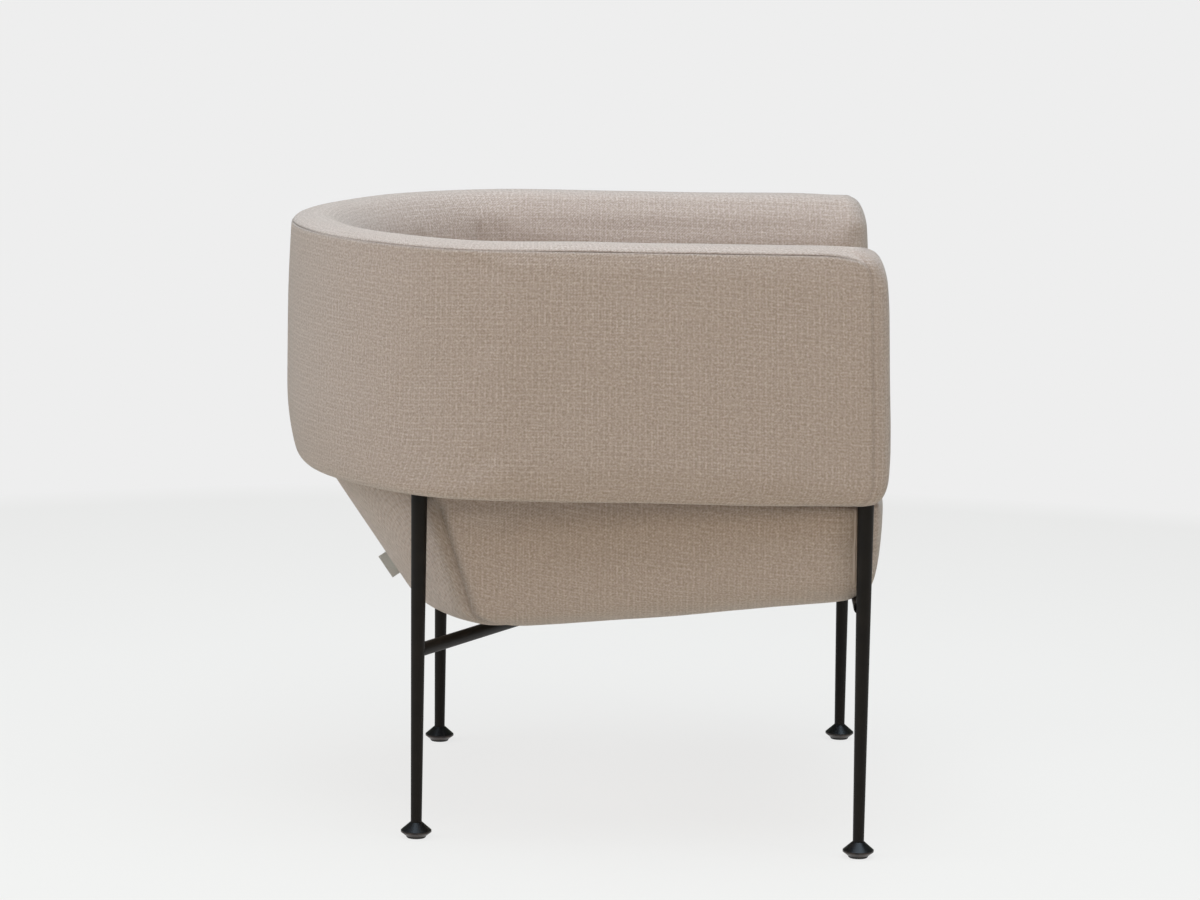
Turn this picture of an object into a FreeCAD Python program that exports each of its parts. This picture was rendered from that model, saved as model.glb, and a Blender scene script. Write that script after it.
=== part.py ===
# Lounge chair: a padded U-shaped shell for back and arms over an upholstered seat body,
# carried by four slim tapered steel legs with turned feet.
# Frame of the model: X across the chair, the front faces -Y, Z is up, the floor is Z = 0,
# and the origin lies under the middle of the chair's box. Lengths are millimetres.

import FreeCAD, Part
import math
import os
import Sketcher
from FreeCAD import Vector

# Driving sizes

SIZES = [
    ("width", 700, "overall width, outside of the arms"),
    ("depth", 715, "overall depth, arm fronts to the back"),
    ("height", 705, "floor to the top of the shell"),
    # padded shell
    ("shell_bottom", 409.5, "floor to the underside of the shell"),
    ("shell_thickness", 75, "padded wall, outside to inside"),
    ("shell_back_depth", 278, "length of the curved part of the plan"),
    ("shell_side_radius", 200, "plan radius where the arms turn into the back"),
    ("shell_bottom_roll", 14, "rounding of the lower edges; more at the arm fronts"),
    ("shell_top_roll_width", 37, "inner rounding of the top, across"),
    ("shell_top_roll_drop", 42, "inner rounding of the top, down"),
    ("shell_edge_width", 20, "slope from the top seam to the crest, across"),
    ("shell_edge_drop", 3.5, "slope from the top seam to the crest, down"),
    ("shell_front_roll_length", 30, "rounding of the arm's upper front corner, along the arm"),
    ("shell_front_roll_drop", 50, "rounding of the arm's upper front corner, down"),
    ("shell_front_lean", 8, "how far the arm front leans back at the top"),
    ("shell_outer_lean", 4, "how far the outer face draws in at the top"),
    ("shell_crown", 3, "swell of the inner face at mid height"),
    ("shell_back_draw", 14, "how far the back's lower edge draws in"),
    ("shell_back_draw_height", 92, "height over which the back's lower edge draws in"),
    # fabric and padding
    ("fabric_thickness", 2, "cover fabric with its lining"),
    ("soft_gap", 0.3, "clearance round a padded piece"),
    ("seam_gap", 0.3, "clearance between two covers at a seam"),
    ("shell_seam_inset", 18, "upright seam behind the arm front"),
    # timber frame of the shell
    ("rail_inset", 9.5, "outer face of the padding to the rails"),
    ("rail_width", 42.5, "shell rails, across the wall of an arm"),
    ("rail_back_draw", 14, "how much further in the frame's outer side lies at the back"),
    ("rail_height", 18, "shell rails, plywood"),
    ("rail_lift", 2.2, "wadding under the lower rail"),
    ("rail_front_inset", 16, "arm front to the rail ends"),
    ("rail_corner_radius", 10, "rounded rail ends"),
    ("board_thickness", 4, "bent boards on both sides of the frame"),
    ("top_padding", 25, "crest to the upper rail"),
    ("post_width", 30, "uprights, along the wall"),
    ("post_clearance", 0.9, "uprights to the bent boards"),
    # seat body
    ("seat_front_inset", 8, "seat front at its sides, behind the arm fronts"),
    ("seat_front_crown", 7, "forward swell of the seat front"),
    ("seat_front_draw", 12, "how far the seat front draws in towards its lower edge"),
    ("seat_base_front", 292, "floor to the belly's plane below the seat front"),
    ("seat_front_gap", 28, "outside of the arms to the seat body at its front"),
    ("seat_rear_gap", 80, "outside of the arms to the seat body at its rear seams"),
    ("seat_side_crown", 8, "outward swell of the seat sides"),
    ("seat_seam_setback", 240, "outside of the back to the rear seams, along the belly's plane"),
    ("seat_rear_setback", 167.5, "outside of the back to the seat's rear, along the belly's plane"),
    ("seat_corner_radius", 32, "upright rounding of the seat's front corners"),
    ("belly_roll_width", 80, "rounding from the sides to the flat of the belly, across"),
    ("belly_roll_height", 30, "rounding from the sides to the flat of the belly, up"),
    ("crown_roll_width", 110, "rounding of the cushion's top, across"),
    ("crown_height", 23, "cushion's top above the underside of the shell"),
    ("crown_clearance", 1.2, "cushion to the inner face of the shell"),
    ("seat_wadding", 8, "padding between the cover and the seat frame"),
    ("seat_rail_thickness", 24, "seat frame boards"),
    ("seat_rail_top", 385, "floor to the top of the seat frame"),
    ("panel_lift", 11, "belly's plane to the base panel"),
    ("panel_thickness", 12, "plywood base panel"),
    ("panel_clearance", 0.3, "belly padding to the base panel"),
    ("belt_width", 50, "elastic belts under the seat padding"),
    ("belt_pitch", 84, "belt to belt"),
    ("belt_thickness", 1.5, "elastic belts"),
    ("belt_end_inset", 3, "belt ends to the outside of the seat frame"),
    ("tag_length", 31, "plain tag in the rear seam, along the seam"),
    ("tag_reach", 16.5, "plain tag, out of the seam"),
    ("tag_thickness", 1.2, "plain tag"),
    ("tag_height", 45, "belly's plane to the lower end of the tag"),
    # steel base
    ("front_leg_side_inset", 19, "outside of the arms to the front legs"),
    ("rear_leg_side_inset", 77, "outside of the arms to the rear legs"),
    ("front_leg_inset", 26.5, "arm fronts to the front legs"),
    ("rear_leg_inset", 174.5, "outside of the back to the rear legs"),
    ("leg_top_radius", 9.5, "tube at the shell"),
    ("leg_ankle_radius", 6.5, "tube at the foot"),
    ("leg_wall", 1.5, "tube wall"),
    ("leg_fit_gap", 0.2, "plugs and foot stems in the tube"),
    ("foot_height", 18.5, "floor to the end of the tube"),
    ("foot_rim_radius", 18, "widest part of the turned foot"),
    ("foot_rim_bottom", 7, "floor to the lower edge of the rim"),
    ("foot_rim_top", 9, "floor to the upper edge of the rim"),
    ("foot_base_radius", 12.3, "turned foot at its lower end"),
    ("foot_neck_radius", 7.2, "turned foot under the tube"),
    ("foot_stem_length", 14, "stem of the foot inside the tube"),
    ("glide_height", 2.5, "plastic glide below the foot"),
    ("glide_radius", 11.5, "plastic glide"),
    ("glide_edge", 1, "chamfer of the glide"),
    ("glide_peg_radius", 3, "peg of the glide"),
    ("glide_peg_length", 5, "peg of the glide inside the foot"),
    ("stud_radius", 4, "threaded stud of the leg"),
    ("stud_length", 14, "stud above the tube"),
    ("plug_length", 12, "plug of the stud inside the tube"),
    ("insert_radius", 6, "threaded insert in the rail"),
    ("insert_length", 15, "threaded insert in the rail"),
    ("crossbar_radius", 8, "front crossbar"),
    ("crossbar_setback", 3.5, "axes of the front legs to the axis of the crossbar"),
    ("crossbar_wall", 1.5, "front crossbar"),
    ("crossbar_height", 292.2, "floor to the axis of the crossbar"),
    ("brace_radius", 8, "rear braces"),
    ("brace_wall", 1.5, "rear braces"),
    ("brace_height", 222, "floor to the axis of the braces"),
    ("brace_reach", 142, "rear legs to the hub, towards the front"),
    ("weld_gap", 0.3, "tube end to the tube that it is welded to"),
    ("hub_radius", 14, "hub where the braces meet"),
    ("plate_length", 90, "plate under the seat, across"),
    ("plate_width", 60, "plate under the seat, fore and aft"),
    ("plate_thickness", 4, "plate under the seat"),
    ("plate_screw_pitch", 68, "screws of the plate, across"),
    ("plate_screw_spread", 38, "screws of the plate, fore and aft"),
    ("screw_radius", 2.5, "wood screws"),
    ("screw_head_radius", 5, "wood screws"),
    ("screw_head_height", 2.8, "wood screws"),
    ("screw_clearance", 0.3, "holes round the screws"),
    ("plate_screw_length", 22, "wood screws of the plate"),
    ("crossbar_screw_length", 60, "wood screws through the crossbar"),
    ("crossbar_recess", 0.3, "seat padding and cover to the crossbar"),
    ("crossbar_screw_pitch", 300, "wood screws through the crossbar, across"),
    ("cut_corner_radius", 1, "corners of the cutting zones"),
    ("tool_overrun", 30, "how far a cutting shape passes a face"),
]

SEAT_RAKE_ANGLE = 6.9
CUSHION_TILT_ANGLE = 2.0
CREASE_LEAN_SHARE = 0.18
REAR_SLOPE_SHARE = 0.53
CREASE_PULL_SHARE = 1.1
REAR_PULL_SHARE = 1.3
FRONT_PULL_SHARE = 0.3
OUTER_CORNER_SHARE = 0.24
INNER_CORNER_SHARE = 0.36
FRONT_ROLL_SHARE = 1.4

# Heights of the sections, as shares of the rounding or wall that they follow
BOTTOM_ROLL_SHARES = (0.0, 0.1, 0.35, 1.0)
WALL_SHARES = (0.1, 0.3, 0.65)
TOP_ROLL_SHARES = (1.0, 0.72, 0.5, 0.32, 0.18)
# Pull from the side and height, as shares of the rounding's width and height
BELLY_SHARES = ((1.0, 0.0), (0.62, 0.08), (0.34, 0.22), (0.16, 0.4), (0.05, 0.64), (0.0, 1.0))
CROWN_SHARES = ((0.0, 0.0), (0.01, 0.25), (0.05, 0.5), (0.13, 0.7), (0.28, 0.84), (0.55, 0.95), (1.0, 1.0))
SEAT_WALL_SHARES = (0.35, 0.7)
# Uprights of the shell frame: share of the straight arm from its front, or angle from the back
ARM_POST_SHARES = (0.05, 0.52, 0.97)
BACK_POST_ANGLES = (-38.0, 0.0, 38.0)
CROSS_BELTS = 6
LONG_BELTS = 5

doc = FreeCAD.newDocument("lounge_chair")
sheet = doc.addObject("Spreadsheet::Sheet", "Sizes")
for row, (alias, value, note) in enumerate(SIZES, start=1):
    sheet.set(f"A{row}", str(value))
    sheet.setAlias(f"A{row}", alias)
    sheet.set(f"B{row}", note)
doc.recompute()
size = {alias: float(sheet.get(alias)) for alias, value, note in SIZES}
parts = {}


# Helpers for the document

def bind(item, **expressions):
    """Binds properties to the sheet; a double underscore stands for a dot."""
    for name, expression in expressions.items():
        item.setExpression(name.replace("__", "."), expression)
    return item


def keep(name, item):
    """Names a finished sub-part."""
    item.Label = name
    parts[name] = item
    return item


def feature(name, shape):
    """Puts a worked-out shape into the document as a sub-part."""
    item = doc.addObject("Part::Feature", name)
    item.Shape = shape
    return keep(name, item)


def at(item, across="0", along="0", up="0"):
    """Places an item by expressions."""
    return bind(item, Placement__Base__x=across, Placement__Base__y=along, Placement__Base__z=up)


def cylinder(name, radius, length, across="0", along="0", up="0"):
    item = doc.addObject("Part::Cylinder", name)
    bind(item, Radius=radius, Height=length)
    return at(item, across, along, up)


def cone(name, lower, upper, length, across="0", along="0", up="0"):
    item = doc.addObject("Part::Cone", name)
    bind(item, Radius1=lower, Radius2=upper, Height=length)
    return at(item, across, along, up)


def cut(name, base, tool):
    item = doc.addObject("Part::Cut", name)
    item.Base = base
    item.Tool = tool
    return item


def fuse(name, items):
    item = doc.addObject("Part::MultiFuse", name)
    item.Shapes = items
    return item


def group(name, items):
    item = doc.addObject("Part::Compound", name)
    item.Links = items
    return item


def turned(name, profile):
    """Body turned from a profile of (radius, height) expressions."""
    body = doc.addObject("PartDesign::Body", name)
    plane = [item for item in body.Origin.OriginFeatures if item.Role == "XZ_Plane"][0]
    sketch = body.newObject("Sketcher::SketchObject", name + "_profile")
    sketch.AttachmentSupport = (plane, [""])
    sketch.MapMode = "FlatFace"
    places = [Vector(float(sheet.evalExpression(radius)), float(sheet.evalExpression(level)), 0)
              for radius, level in profile]
    count = len(places)
    for index in range(count):
        sketch.addGeometry(Part.LineSegment(places[index], places[(index + 1) % count]), False)
    for index in range(count):
        following = (index + 1) % count
        sketch.addConstraint(Sketcher.Constraint("Coincident", index, 2, following, 1))
    for index, (radius, level) in enumerate(profile):
        if radius == "0":
            sketch.addConstraint(Sketcher.Constraint("PointOnObject", index, 1, -2))
        else:
            number = sketch.addConstraint(
                Sketcher.Constraint("DistanceX", -1, 1, index, 1, places[index].x))
            sketch.setExpression(f"Constraints[{number}]", radius)
        if level == "0":
            sketch.addConstraint(Sketcher.Constraint("PointOnObject", index, 1, -1))
        else:
            number = sketch.addConstraint(
                Sketcher.Constraint("DistanceY", -1, 1, index, 1, places[index].y))
            sketch.setExpression(f"Constraints[{number}]", level)
    turn = body.newObject("PartDesign::Revolution", name + "_turn")
    turn.Profile = sketch
    turn.ReferenceAxis = (sketch, ["V_Axis"])
    turn.Angle = 360
    sketch.Visibility = False
    body.Tip = turn
    return body


# Plan of the shell: straight arms, a side arc at each rear corner and one arc for the back

half_width = size["width"] / 2
half_depth = size["depth"] / 2
curve_start = half_depth - size["shell_back_depth"]
side_centre = half_width - size["shell_side_radius"]


def back_arc(draw):
    """Radius, centre and half angle of the back's arc, when the back is drawn in."""
    side, reach = size["shell_side_radius"], size["shell_back_depth"] - draw
    radius = (side_centre ** 2 + reach ** 2 - side ** 2) / (2 * (reach - side))
    centre = curve_start + reach - radius
    return radius, centre, math.atan2(side_centre, curve_start - centre)


def arc(first, middle, last):
    return Part.Arc(first, middle, last).toShape()


def line(first, last):
    return Part.LineSegment(first, last).toShape()


def polar(centre, along, radius, angle):
    """Point at an angle from +Y, turned towards +X."""
    return Vector(centre + radius * math.sin(angle), along + radius * math.cos(angle), 0)


def back_curve(inset, front_left, front_right, draw=0.0):
    """Edges from the right arm's front round the back to the left arm's front."""
    side = size["shell_side_radius"] - inset
    back_radius, back_centre, turn_angle = back_arc(draw)
    back = back_radius - inset
    half_turn = (turn_angle + math.pi / 2) / 2
    right_start = Vector(-half_width + inset, curve_start, 0)
    left_start = Vector(half_width - inset, curve_start, 0)
    right_joint = polar(0, back_centre, back, -turn_angle)
    left_joint = polar(0, back_centre, back, turn_angle)
    return [
        line(front_right, right_start),
        arc(right_start, polar(-side_centre, curve_start, side, -half_turn), right_joint),
        arc(right_joint, polar(0, back_centre, back, 0), left_joint),
        arc(left_joint, polar(side_centre, curve_start, side, half_turn), left_start),
        line(left_start, front_left),
    ]


def reversed_edges(edges):
    return [edge.reversed() for edge in reversed(edges)]


def corner(corner_point, toward_first, toward_last, radius):
    """Quarter arc that rounds a square corner."""
    centre = corner_point + toward_first * radius + toward_last * radius
    away = (corner_point - centre).normalize()
    return arc(corner_point + toward_first * radius, centre + away * radius,
               corner_point + toward_last * radius)


def wall_wire(outer, inner, front, outer_round, inner_round, level=0.0, draw=0.0, inner_draw=0.0):
    """Closed U-shaped outline between two insets from the chair's outside."""
    right, left, back = Vector(-1, 0, 0), Vector(1, 0, 0), Vector(0, 1, 0)
    outer_x, inner_x = half_width - outer, half_width - inner
    edges = back_curve(outer, Vector(outer_x, front + outer_round, 0),
                       Vector(-outer_x, front + outer_round, 0), draw)
    edges.append(corner(Vector(outer_x, front, 0), back, right, outer_round))
    edges.append(line(Vector(outer_x - outer_round, front, 0), Vector(inner_x + inner_round, front, 0)))
    edges.append(corner(Vector(inner_x, front, 0), left, back, inner_round))
    edges += reversed_edges(back_curve(inner, Vector(inner_x, front + inner_round, 0),
                                       Vector(-inner_x, front + inner_round, 0), inner_draw))
    edges.append(corner(Vector(-inner_x, front, 0), back, right, inner_round))
    edges.append(line(Vector(-inner_x - inner_round, front, 0), Vector(-outer_x + outer_round, front, 0)))
    edges.append(corner(Vector(-outer_x, front, 0), left, back, outer_round))
    wire = Part.Wire(edges)
    wire.translate(Vector(0, 0, level))
    return wire


def prism(wire, bottom, top):
    """Straight solid over an outline in the floor plane."""
    face = Part.Face(wire)
    face.translate(Vector(0, 0, bottom))
    return face.extrude(Vector(0, 0, top - bottom))


def round_pull(share):
    """How far a quarter round has drawn in, from 1 at its end to 0 where it meets the wall."""
    return 1 - math.sqrt(max(0.0, 1 - (1 - min(share, 1.0)) ** 2))


def shell_form(inset):
    """Padded shell, drawn in by an inset all round."""
    bottom, top = size["shell_bottom"], size["height"]
    roll, drop = size["shell_bottom_roll"], size["shell_top_roll_drop"]
    front_drop = size["shell_front_roll_drop"]
    wall_bottom, wall_top = bottom + roll, top - max(front_drop, drop)
    levels = [bottom + share * roll for share in BOTTOM_ROLL_SHARES]
    levels += [wall_bottom + share * (wall_top - wall_bottom) for share in WALL_SHARES]
    levels += [top - share * front_drop for share in TOP_ROLL_SHARES]
    levels += [top - size["shell_edge_drop"], top]
    wires = []
    for level in levels:
        rise = (level - bottom) / (top - bottom)
        low = roll * round_pull((level - bottom) / roll)
        edge_share = max(0.0, 1 - (top - level) / size["shell_edge_drop"])
        outer = low + size["shell_outer_lean"] * rise ** 3 + size["shell_edge_width"] * edge_share
        swell = size["shell_crown"] * math.sin(math.pi * rise)
        inner = (size["shell_thickness"] - low + swell
                 - size["shell_top_roll_width"] * round_pull((top - level) / drop))
        front = (-half_depth + FRONT_ROLL_SHARE * low + size["shell_front_lean"] * rise
                 + size["shell_front_roll_length"] * round_pull((top - level) / front_drop))
        low_share = max(0.0, 1 - (level - bottom) / size["shell_back_draw_height"])
        breadth = inner - outer - 2 * inset
        height = level + inset * (1 - 2 * rise)
        wires.append(wall_wire(outer + inset, inner - inset, front + inset,
                               breadth * OUTER_CORNER_SHARE, breadth * INNER_CORNER_SHARE, height,
                               size["shell_back_draw"] * low_share ** 2))
    return Part.makeLoft(wires, True, True, False)


# Plan of the seat body, in a frame whose floor is the raked plane of the belly

rake = math.radians(SEAT_RAKE_ANGLE)
seat_front = -half_depth + size["seat_front_inset"]
seam_reach = size["depth"] - size["seat_front_inset"] - size["seat_seam_setback"]
rear_reach = size["depth"] - size["seat_front_inset"] - size["seat_rear_setback"]
seat_shoulder = size["shell_bottom"] - size["soft_gap"]


def raked(shape):
    """Moves a shape from the belly's own frame into the chair."""
    shape = shape.copy()
    shape.rotate(Vector(0, 0, 0), Vector(1, 0, 0), -SEAT_RAKE_ANGLE)
    shape.translate(Vector(0, seat_front, size["seat_base_front"]))
    return shape


def seat_wire(pull, inset, level):
    """Six-sided outline of the seat body at a level above the belly's plane."""
    wall_share = min(1.0, level / (seat_shoulder - size["seat_base_front"]))
    front = (FRONT_PULL_SHARE * pull + inset - level * math.tan(rake)
             + size["seat_front_draw"] * (1 - wall_share) ** 3)
    front_half = size["width"] / 2 - size["seat_front_gap"] - pull - inset
    seam_half = size["width"] / 2 - size["seat_rear_gap"] - pull - inset
    seam = seam_reach + CREASE_LEAN_SHARE * level - CREASE_PULL_SHARE * pull - inset
    rear = (rear_reach + REAR_SLOPE_SHARE * level - REAR_PULL_SHARE * pull
            - inset / math.cos(rake))
    bend = size["seat_corner_radius"]
    middle_half = (front_half + seam_half) / 2 + size["seat_side_crown"]
    middle = (front + bend + seam) / 2
    slant = bend * (1 - math.sqrt(0.5))
    points = {
        "front_left": Vector(front_half - bend, front, 0),
        "side_left": Vector(front_half, front + bend, 0),
        "seam_left": Vector(seam_half, seam, 0),
    }
    right = {name: Vector(-point.x, point.y, 0) for name, point in points.items()}
    edges = [
        arc(right["front_left"], Vector(0, front - size["seat_front_crown"], 0), points["front_left"]),
        arc(points["front_left"], Vector(front_half - slant, front + slant, 0), points["side_left"]),
        arc(points["side_left"], Vector(middle_half, middle, 0), points["seam_left"]),
        arc(points["seam_left"], Vector(0, rear, 0), right["seam_left"]),
        arc(right["seam_left"], Vector(-middle_half, middle, 0), right["side_left"]),
        arc(right["side_left"], Vector(-front_half + slant, front + slant, 0), right["front_left"]),
    ]
    wire = Part.Wire(edges)
    wire.translate(Vector(0, 0, level))
    return wire


def seat_body(inset, top, rolled=True):
    """Seat body up to a level in the chair; without the roll its walls go straight down."""
    over = size["tool_overrun"]
    ceiling = (seat_shoulder - size["seat_base_front"] + over
               + rear_reach * math.tan(rake))
    if rolled:
        wires = [seat_wire(pull * size["belly_roll_width"], inset,
                           share * size["belly_roll_height"] + inset)
                 for pull, share in BELLY_SHARES]
        wall = seat_shoulder - size["seat_base_front"] - size["belly_roll_height"]
        wires += [seat_wire(0, inset, size["belly_roll_height"] + share * wall)
                  for share in SEAT_WALL_SHARES]
        wires.append(seat_wire(0, inset, ceiling))
    else:
        wires = [seat_wire(0, inset, level) for level in (-over, ceiling)]
    body = raked(Part.makeLoft(wires, True, True, False))
    return body.common(slab(0, top))


def slab(bottom, top):
    """Level block that covers the whole plan between two heights."""
    over = size["tool_overrun"]
    return Part.makeBox(size["width"] + 2 * over, size["depth"] + 2 * over, top - bottom,
                        Vector(-half_width - over, -half_depth - over, bottom))


def raked_slab(bottom, top):
    """Block between two planes parallel to the belly's plane."""
    over = size["tool_overrun"]
    return raked(Part.makeBox(size["width"] + 2 * over, size["depth"] + 2 * over, top - bottom,
                              Vector(-half_width - over, -over, bottom)))


def crown_form(inset):
    """Cushion's crown inside the shell, from the seat's shoulders up."""
    base = seat_shoulder - inset
    rise = size["shell_bottom"] + size["crown_height"] - inset - base
    clear = size["shell_thickness"] + size["shell_crown"] + size["crown_clearance"] + inset
    wires = []
    for pull_share, share in CROWN_SHARES:
        pull = pull_share * size["crown_roll_width"]
        half = half_width - clear - pull
        front = seat_front + inset + pull
        bend = size["seat_corner_radius"]
        edges = back_curve(clear + pull, Vector(half, front + bend, 0), Vector(-half, front + bend, 0))
        back, right = Vector(0, 1, 0), Vector(-1, 0, 0)
        edges.append(corner(Vector(half, front, 0), back, right, bend))
        edges.append(arc(Vector(half - bend, front, 0), Vector(0, front - size["seat_front_crown"], 0),
                         Vector(-half + bend, front, 0)))
        edges.append(corner(Vector(-half, front, 0), Vector(1, 0, 0), back, bend))
        wire = Part.Wire(edges)
        wire.translate(Vector(0, 0, base + share * rise))
        wire.rotate(Vector(0, seat_front, base + share * rise), Vector(1, 0, 0),
                    -CUSHION_TILT_ANGLE * share)
        wires.append(wire)
    return Part.makeLoft(wires, True, True, False)


def seat_form(inset):
    """Whole seat: body and cushion crown, drawn in by an inset."""
    return seat_body(inset, seat_shoulder - inset).fuse(crown_form(inset)).removeSplitter()


# Places of the steel base

front_leg_x = size["width"] / 2 - size["front_leg_side_inset"]
rear_leg_x = size["width"] / 2 - size["rear_leg_side_inset"]
front_leg_y = -half_depth + size["front_leg_inset"]
crossbar_y = front_leg_y + size["crossbar_setback"]
rear_leg_y = half_depth - size["rear_leg_inset"]
LEGS = {
    "right_front": ("-Sizes.width/2+Sizes.front_leg_side_inset", "-Sizes.depth/2+Sizes.front_leg_inset"),
    "left_front": ("Sizes.width/2-Sizes.front_leg_side_inset", "-Sizes.depth/2+Sizes.front_leg_inset"),
    "right_rear": ("-Sizes.width/2+Sizes.rear_leg_side_inset", "Sizes.depth/2-Sizes.rear_leg_inset"),
    "left_rear": ("Sizes.width/2-Sizes.rear_leg_side_inset", "Sizes.depth/2-Sizes.rear_leg_inset"),
}
LEG_PLACES = [Vector(-front_leg_x, front_leg_y, 0), Vector(front_leg_x, front_leg_y, 0),
              Vector(-rear_leg_x, rear_leg_y, 0), Vector(rear_leg_x, rear_leg_y, 0)]
RAIL_BOTTOM = "(Sizes.shell_bottom+Sizes.fabric_thickness+Sizes.rail_lift)"
rail_bottom = size["shell_bottom"] + size["fabric_thickness"] + size["rail_lift"]


def make_leg(name, across, along):
    """Tapered steel tube from the foot to the lower rail of the shell."""
    length = f"{RAIL_BOTTOM}-Sizes.foot_height"
    outside = cone(name + "_outside", "Sizes.leg_ankle_radius", "Sizes.leg_top_radius", length,
                   across, along, "Sizes.foot_height")
    bore = cone(name + "_bore", "Sizes.leg_ankle_radius-Sizes.leg_wall",
                "Sizes.leg_top_radius-Sizes.leg_wall", length, across, along, "Sizes.foot_height")
    return keep(name + "_leg", cut(name + "_leg", outside, bore))


def make_foot(name, across, along):
    """Turned steel foot with a stem for the tube and a socket for the glide."""
    socket = "Sizes.glide_peg_radius+Sizes.leg_fit_gap"
    roof = "Sizes.glide_height+Sizes.glide_peg_length+Sizes.leg_fit_gap"
    stem = "Sizes.leg_ankle_radius-Sizes.leg_wall-Sizes.leg_fit_gap"
    stem_top = "Sizes.foot_height+Sizes.foot_stem_length"
    body = turned(name + "_foot", [
        (socket, "Sizes.glide_height"), ("Sizes.foot_base_radius", "Sizes.glide_height"),
        ("Sizes.foot_rim_radius", "Sizes.foot_rim_bottom"),
        ("Sizes.foot_rim_radius", "Sizes.foot_rim_top"),
        ("Sizes.foot_neck_radius", "Sizes.foot_height"), (stem, "Sizes.foot_height"),
        (stem, stem_top), ("0", stem_top), ("0", roof), (socket, roof)])
    return keep(name + "_foot", at(body, across, along))


def make_glide(name, across, along):
    """Plastic glide with its peg."""
    top = "Sizes.glide_height+Sizes.glide_peg_length"
    body = turned(name + "_glide", [
        ("0", "0"), ("Sizes.glide_radius-Sizes.glide_edge", "0"),
        ("Sizes.glide_radius", "Sizes.glide_edge"), ("Sizes.glide_radius", "Sizes.glide_height"),
        ("Sizes.glide_peg_radius", "Sizes.glide_height"), ("Sizes.glide_peg_radius", top), ("0", top)])
    return keep(name + "_glide", at(body, across, along))


def make_studs():
    """Plugs welded into the tubes, each with a threaded stud."""
    studs = []
    plug_radius = "Sizes.leg_top_radius-Sizes.leg_wall-Sizes.leg_fit_gap-Sizes.plug_length*" \
                  f"(Sizes.leg_top_radius-Sizes.leg_ankle_radius)/({RAIL_BOTTOM}-Sizes.foot_height)"
    for name, (across, along) in LEGS.items():
        plug = cylinder(name + "_plug", plug_radius, "Sizes.plug_length", across, along,
                        f"{RAIL_BOTTOM}-Sizes.plug_length")
        stud = cylinder(name + "_stud", "Sizes.stud_radius", "Sizes.plug_length+Sizes.stud_length",
                        across, along, f"{RAIL_BOTTOM}-Sizes.plug_length")
        studs.append(fuse(name + "_plug_stud", [plug, stud]))
    return keep("leg_studs", group("leg_studs", studs))


def make_inserts():
    """Threaded inserts in the lower rail."""
    inserts = []
    for name, (across, along) in LEGS.items():
        outside = cylinder(name + "_sleeve", "Sizes.insert_radius", "Sizes.insert_length",
                           across, along, RAIL_BOTTOM)
        bore = cylinder(name + "_thread", "Sizes.stud_radius+Sizes.screw_clearance",
                        "Sizes.insert_length", across, along, RAIL_BOTTOM)
        inserts.append(cut(name + "_insert", outside, bore))
    return keep("leg_inserts", group("leg_inserts", inserts))


def leg_radius_at(level):
    """Outer radius of the tapered tube at a height."""
    share = (level - size["foot_height"]) / (rail_bottom - size["foot_height"])
    return size["leg_ankle_radius"] + share * (size["leg_top_radius"] - size["leg_ankle_radius"])


def post(place, radius, bottom, top):
    """Upright cutting cylinder."""
    return Part.makeCylinder(radius, top - bottom, Vector(place.x, place.y, bottom))


def tube(start, end, radius, wall):
    """Straight tube between two points."""
    direction = end - start
    outside = Part.makeCylinder(radius, direction.Length, start, direction)
    return outside.cut(Part.makeCylinder(radius - wall, direction.Length, start, direction))


def crossbar_recess():
    """Groove for the crossbar in the seat's underside, open below."""
    radius, level = size["crossbar_radius"] + size["crossbar_recess"], size["crossbar_height"]
    start, along = Vector(-half_width, crossbar_y, level), Vector(1, 0, 0)
    slot = Part.makeBox(size["width"], 2 * radius, level, Vector(-half_width, crossbar_y - radius, 0))
    return slot.fuse(Part.makeCylinder(radius, size["width"], start, along))


def crossbar_screw_places():
    reach = size["crossbar_screw_pitch"] / 2
    return [Vector(side * reach, crossbar_y, size["crossbar_height"] - size["crossbar_radius"])
            for side in (-1, 1)]


def make_crossbar():
    """Tube between the front legs, under the seat front."""
    level, over = size["crossbar_height"], size["tool_overrun"]
    bar = tube(Vector(-front_leg_x, crossbar_y, level), Vector(front_leg_x, crossbar_y, level),
               size["crossbar_radius"], size["crossbar_wall"])
    radius = leg_radius_at(level) + size["weld_gap"]
    for place in LEG_PLACES[:2]:
        bar = bar.cut(post(place, radius, level - over, level + over))
    for place in crossbar_screw_places():
        bar = bar.cut(post(place, size["screw_radius"] + size["screw_clearance"],
                           level - over, level + over))
    return feature("front_crossbar", bar)


hub_place = Vector(0, rear_leg_y - size["brace_reach"], size["brace_height"])


def make_brace(name, place):
    """Tube from a rear leg to the hub under the seat."""
    level, over = size["brace_height"], size["tool_overrun"]
    bar = tube(Vector(place.x, place.y, level), hub_place, size["brace_radius"], size["brace_wall"])
    bar = bar.cut(post(place, leg_radius_at(level) + size["weld_gap"], level - over, level + over))
    bar = bar.cut(post(hub_place, size["hub_radius"] + size["weld_gap"], level - over, level + over))
    return feature(name, bar)


def belly_height(along):
    """Height of the belly's plane at a place along the chair."""
    return size["seat_base_front"] - (along - seat_front) * math.tan(rake)


plate_level = belly_height(hub_place.y) - size["soft_gap"] / math.cos(rake)


def on_plate(shape):
    """Moves a shape from the top of the seat plate's own frame into the chair."""
    shape = shape.copy()
    shape.rotate(Vector(0, 0, 0), Vector(1, 0, 0), -SEAT_RAKE_ANGLE)
    shape.translate(Vector(0, hub_place.y, plate_level))
    return shape


def plate_screw_places():
    return [Vector(across * size["plate_screw_pitch"] / 2, along * size["plate_screw_spread"] / 2,
                   -size["plate_thickness"])
            for across in (-1, 1) for along in (-1, 1)]


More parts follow.
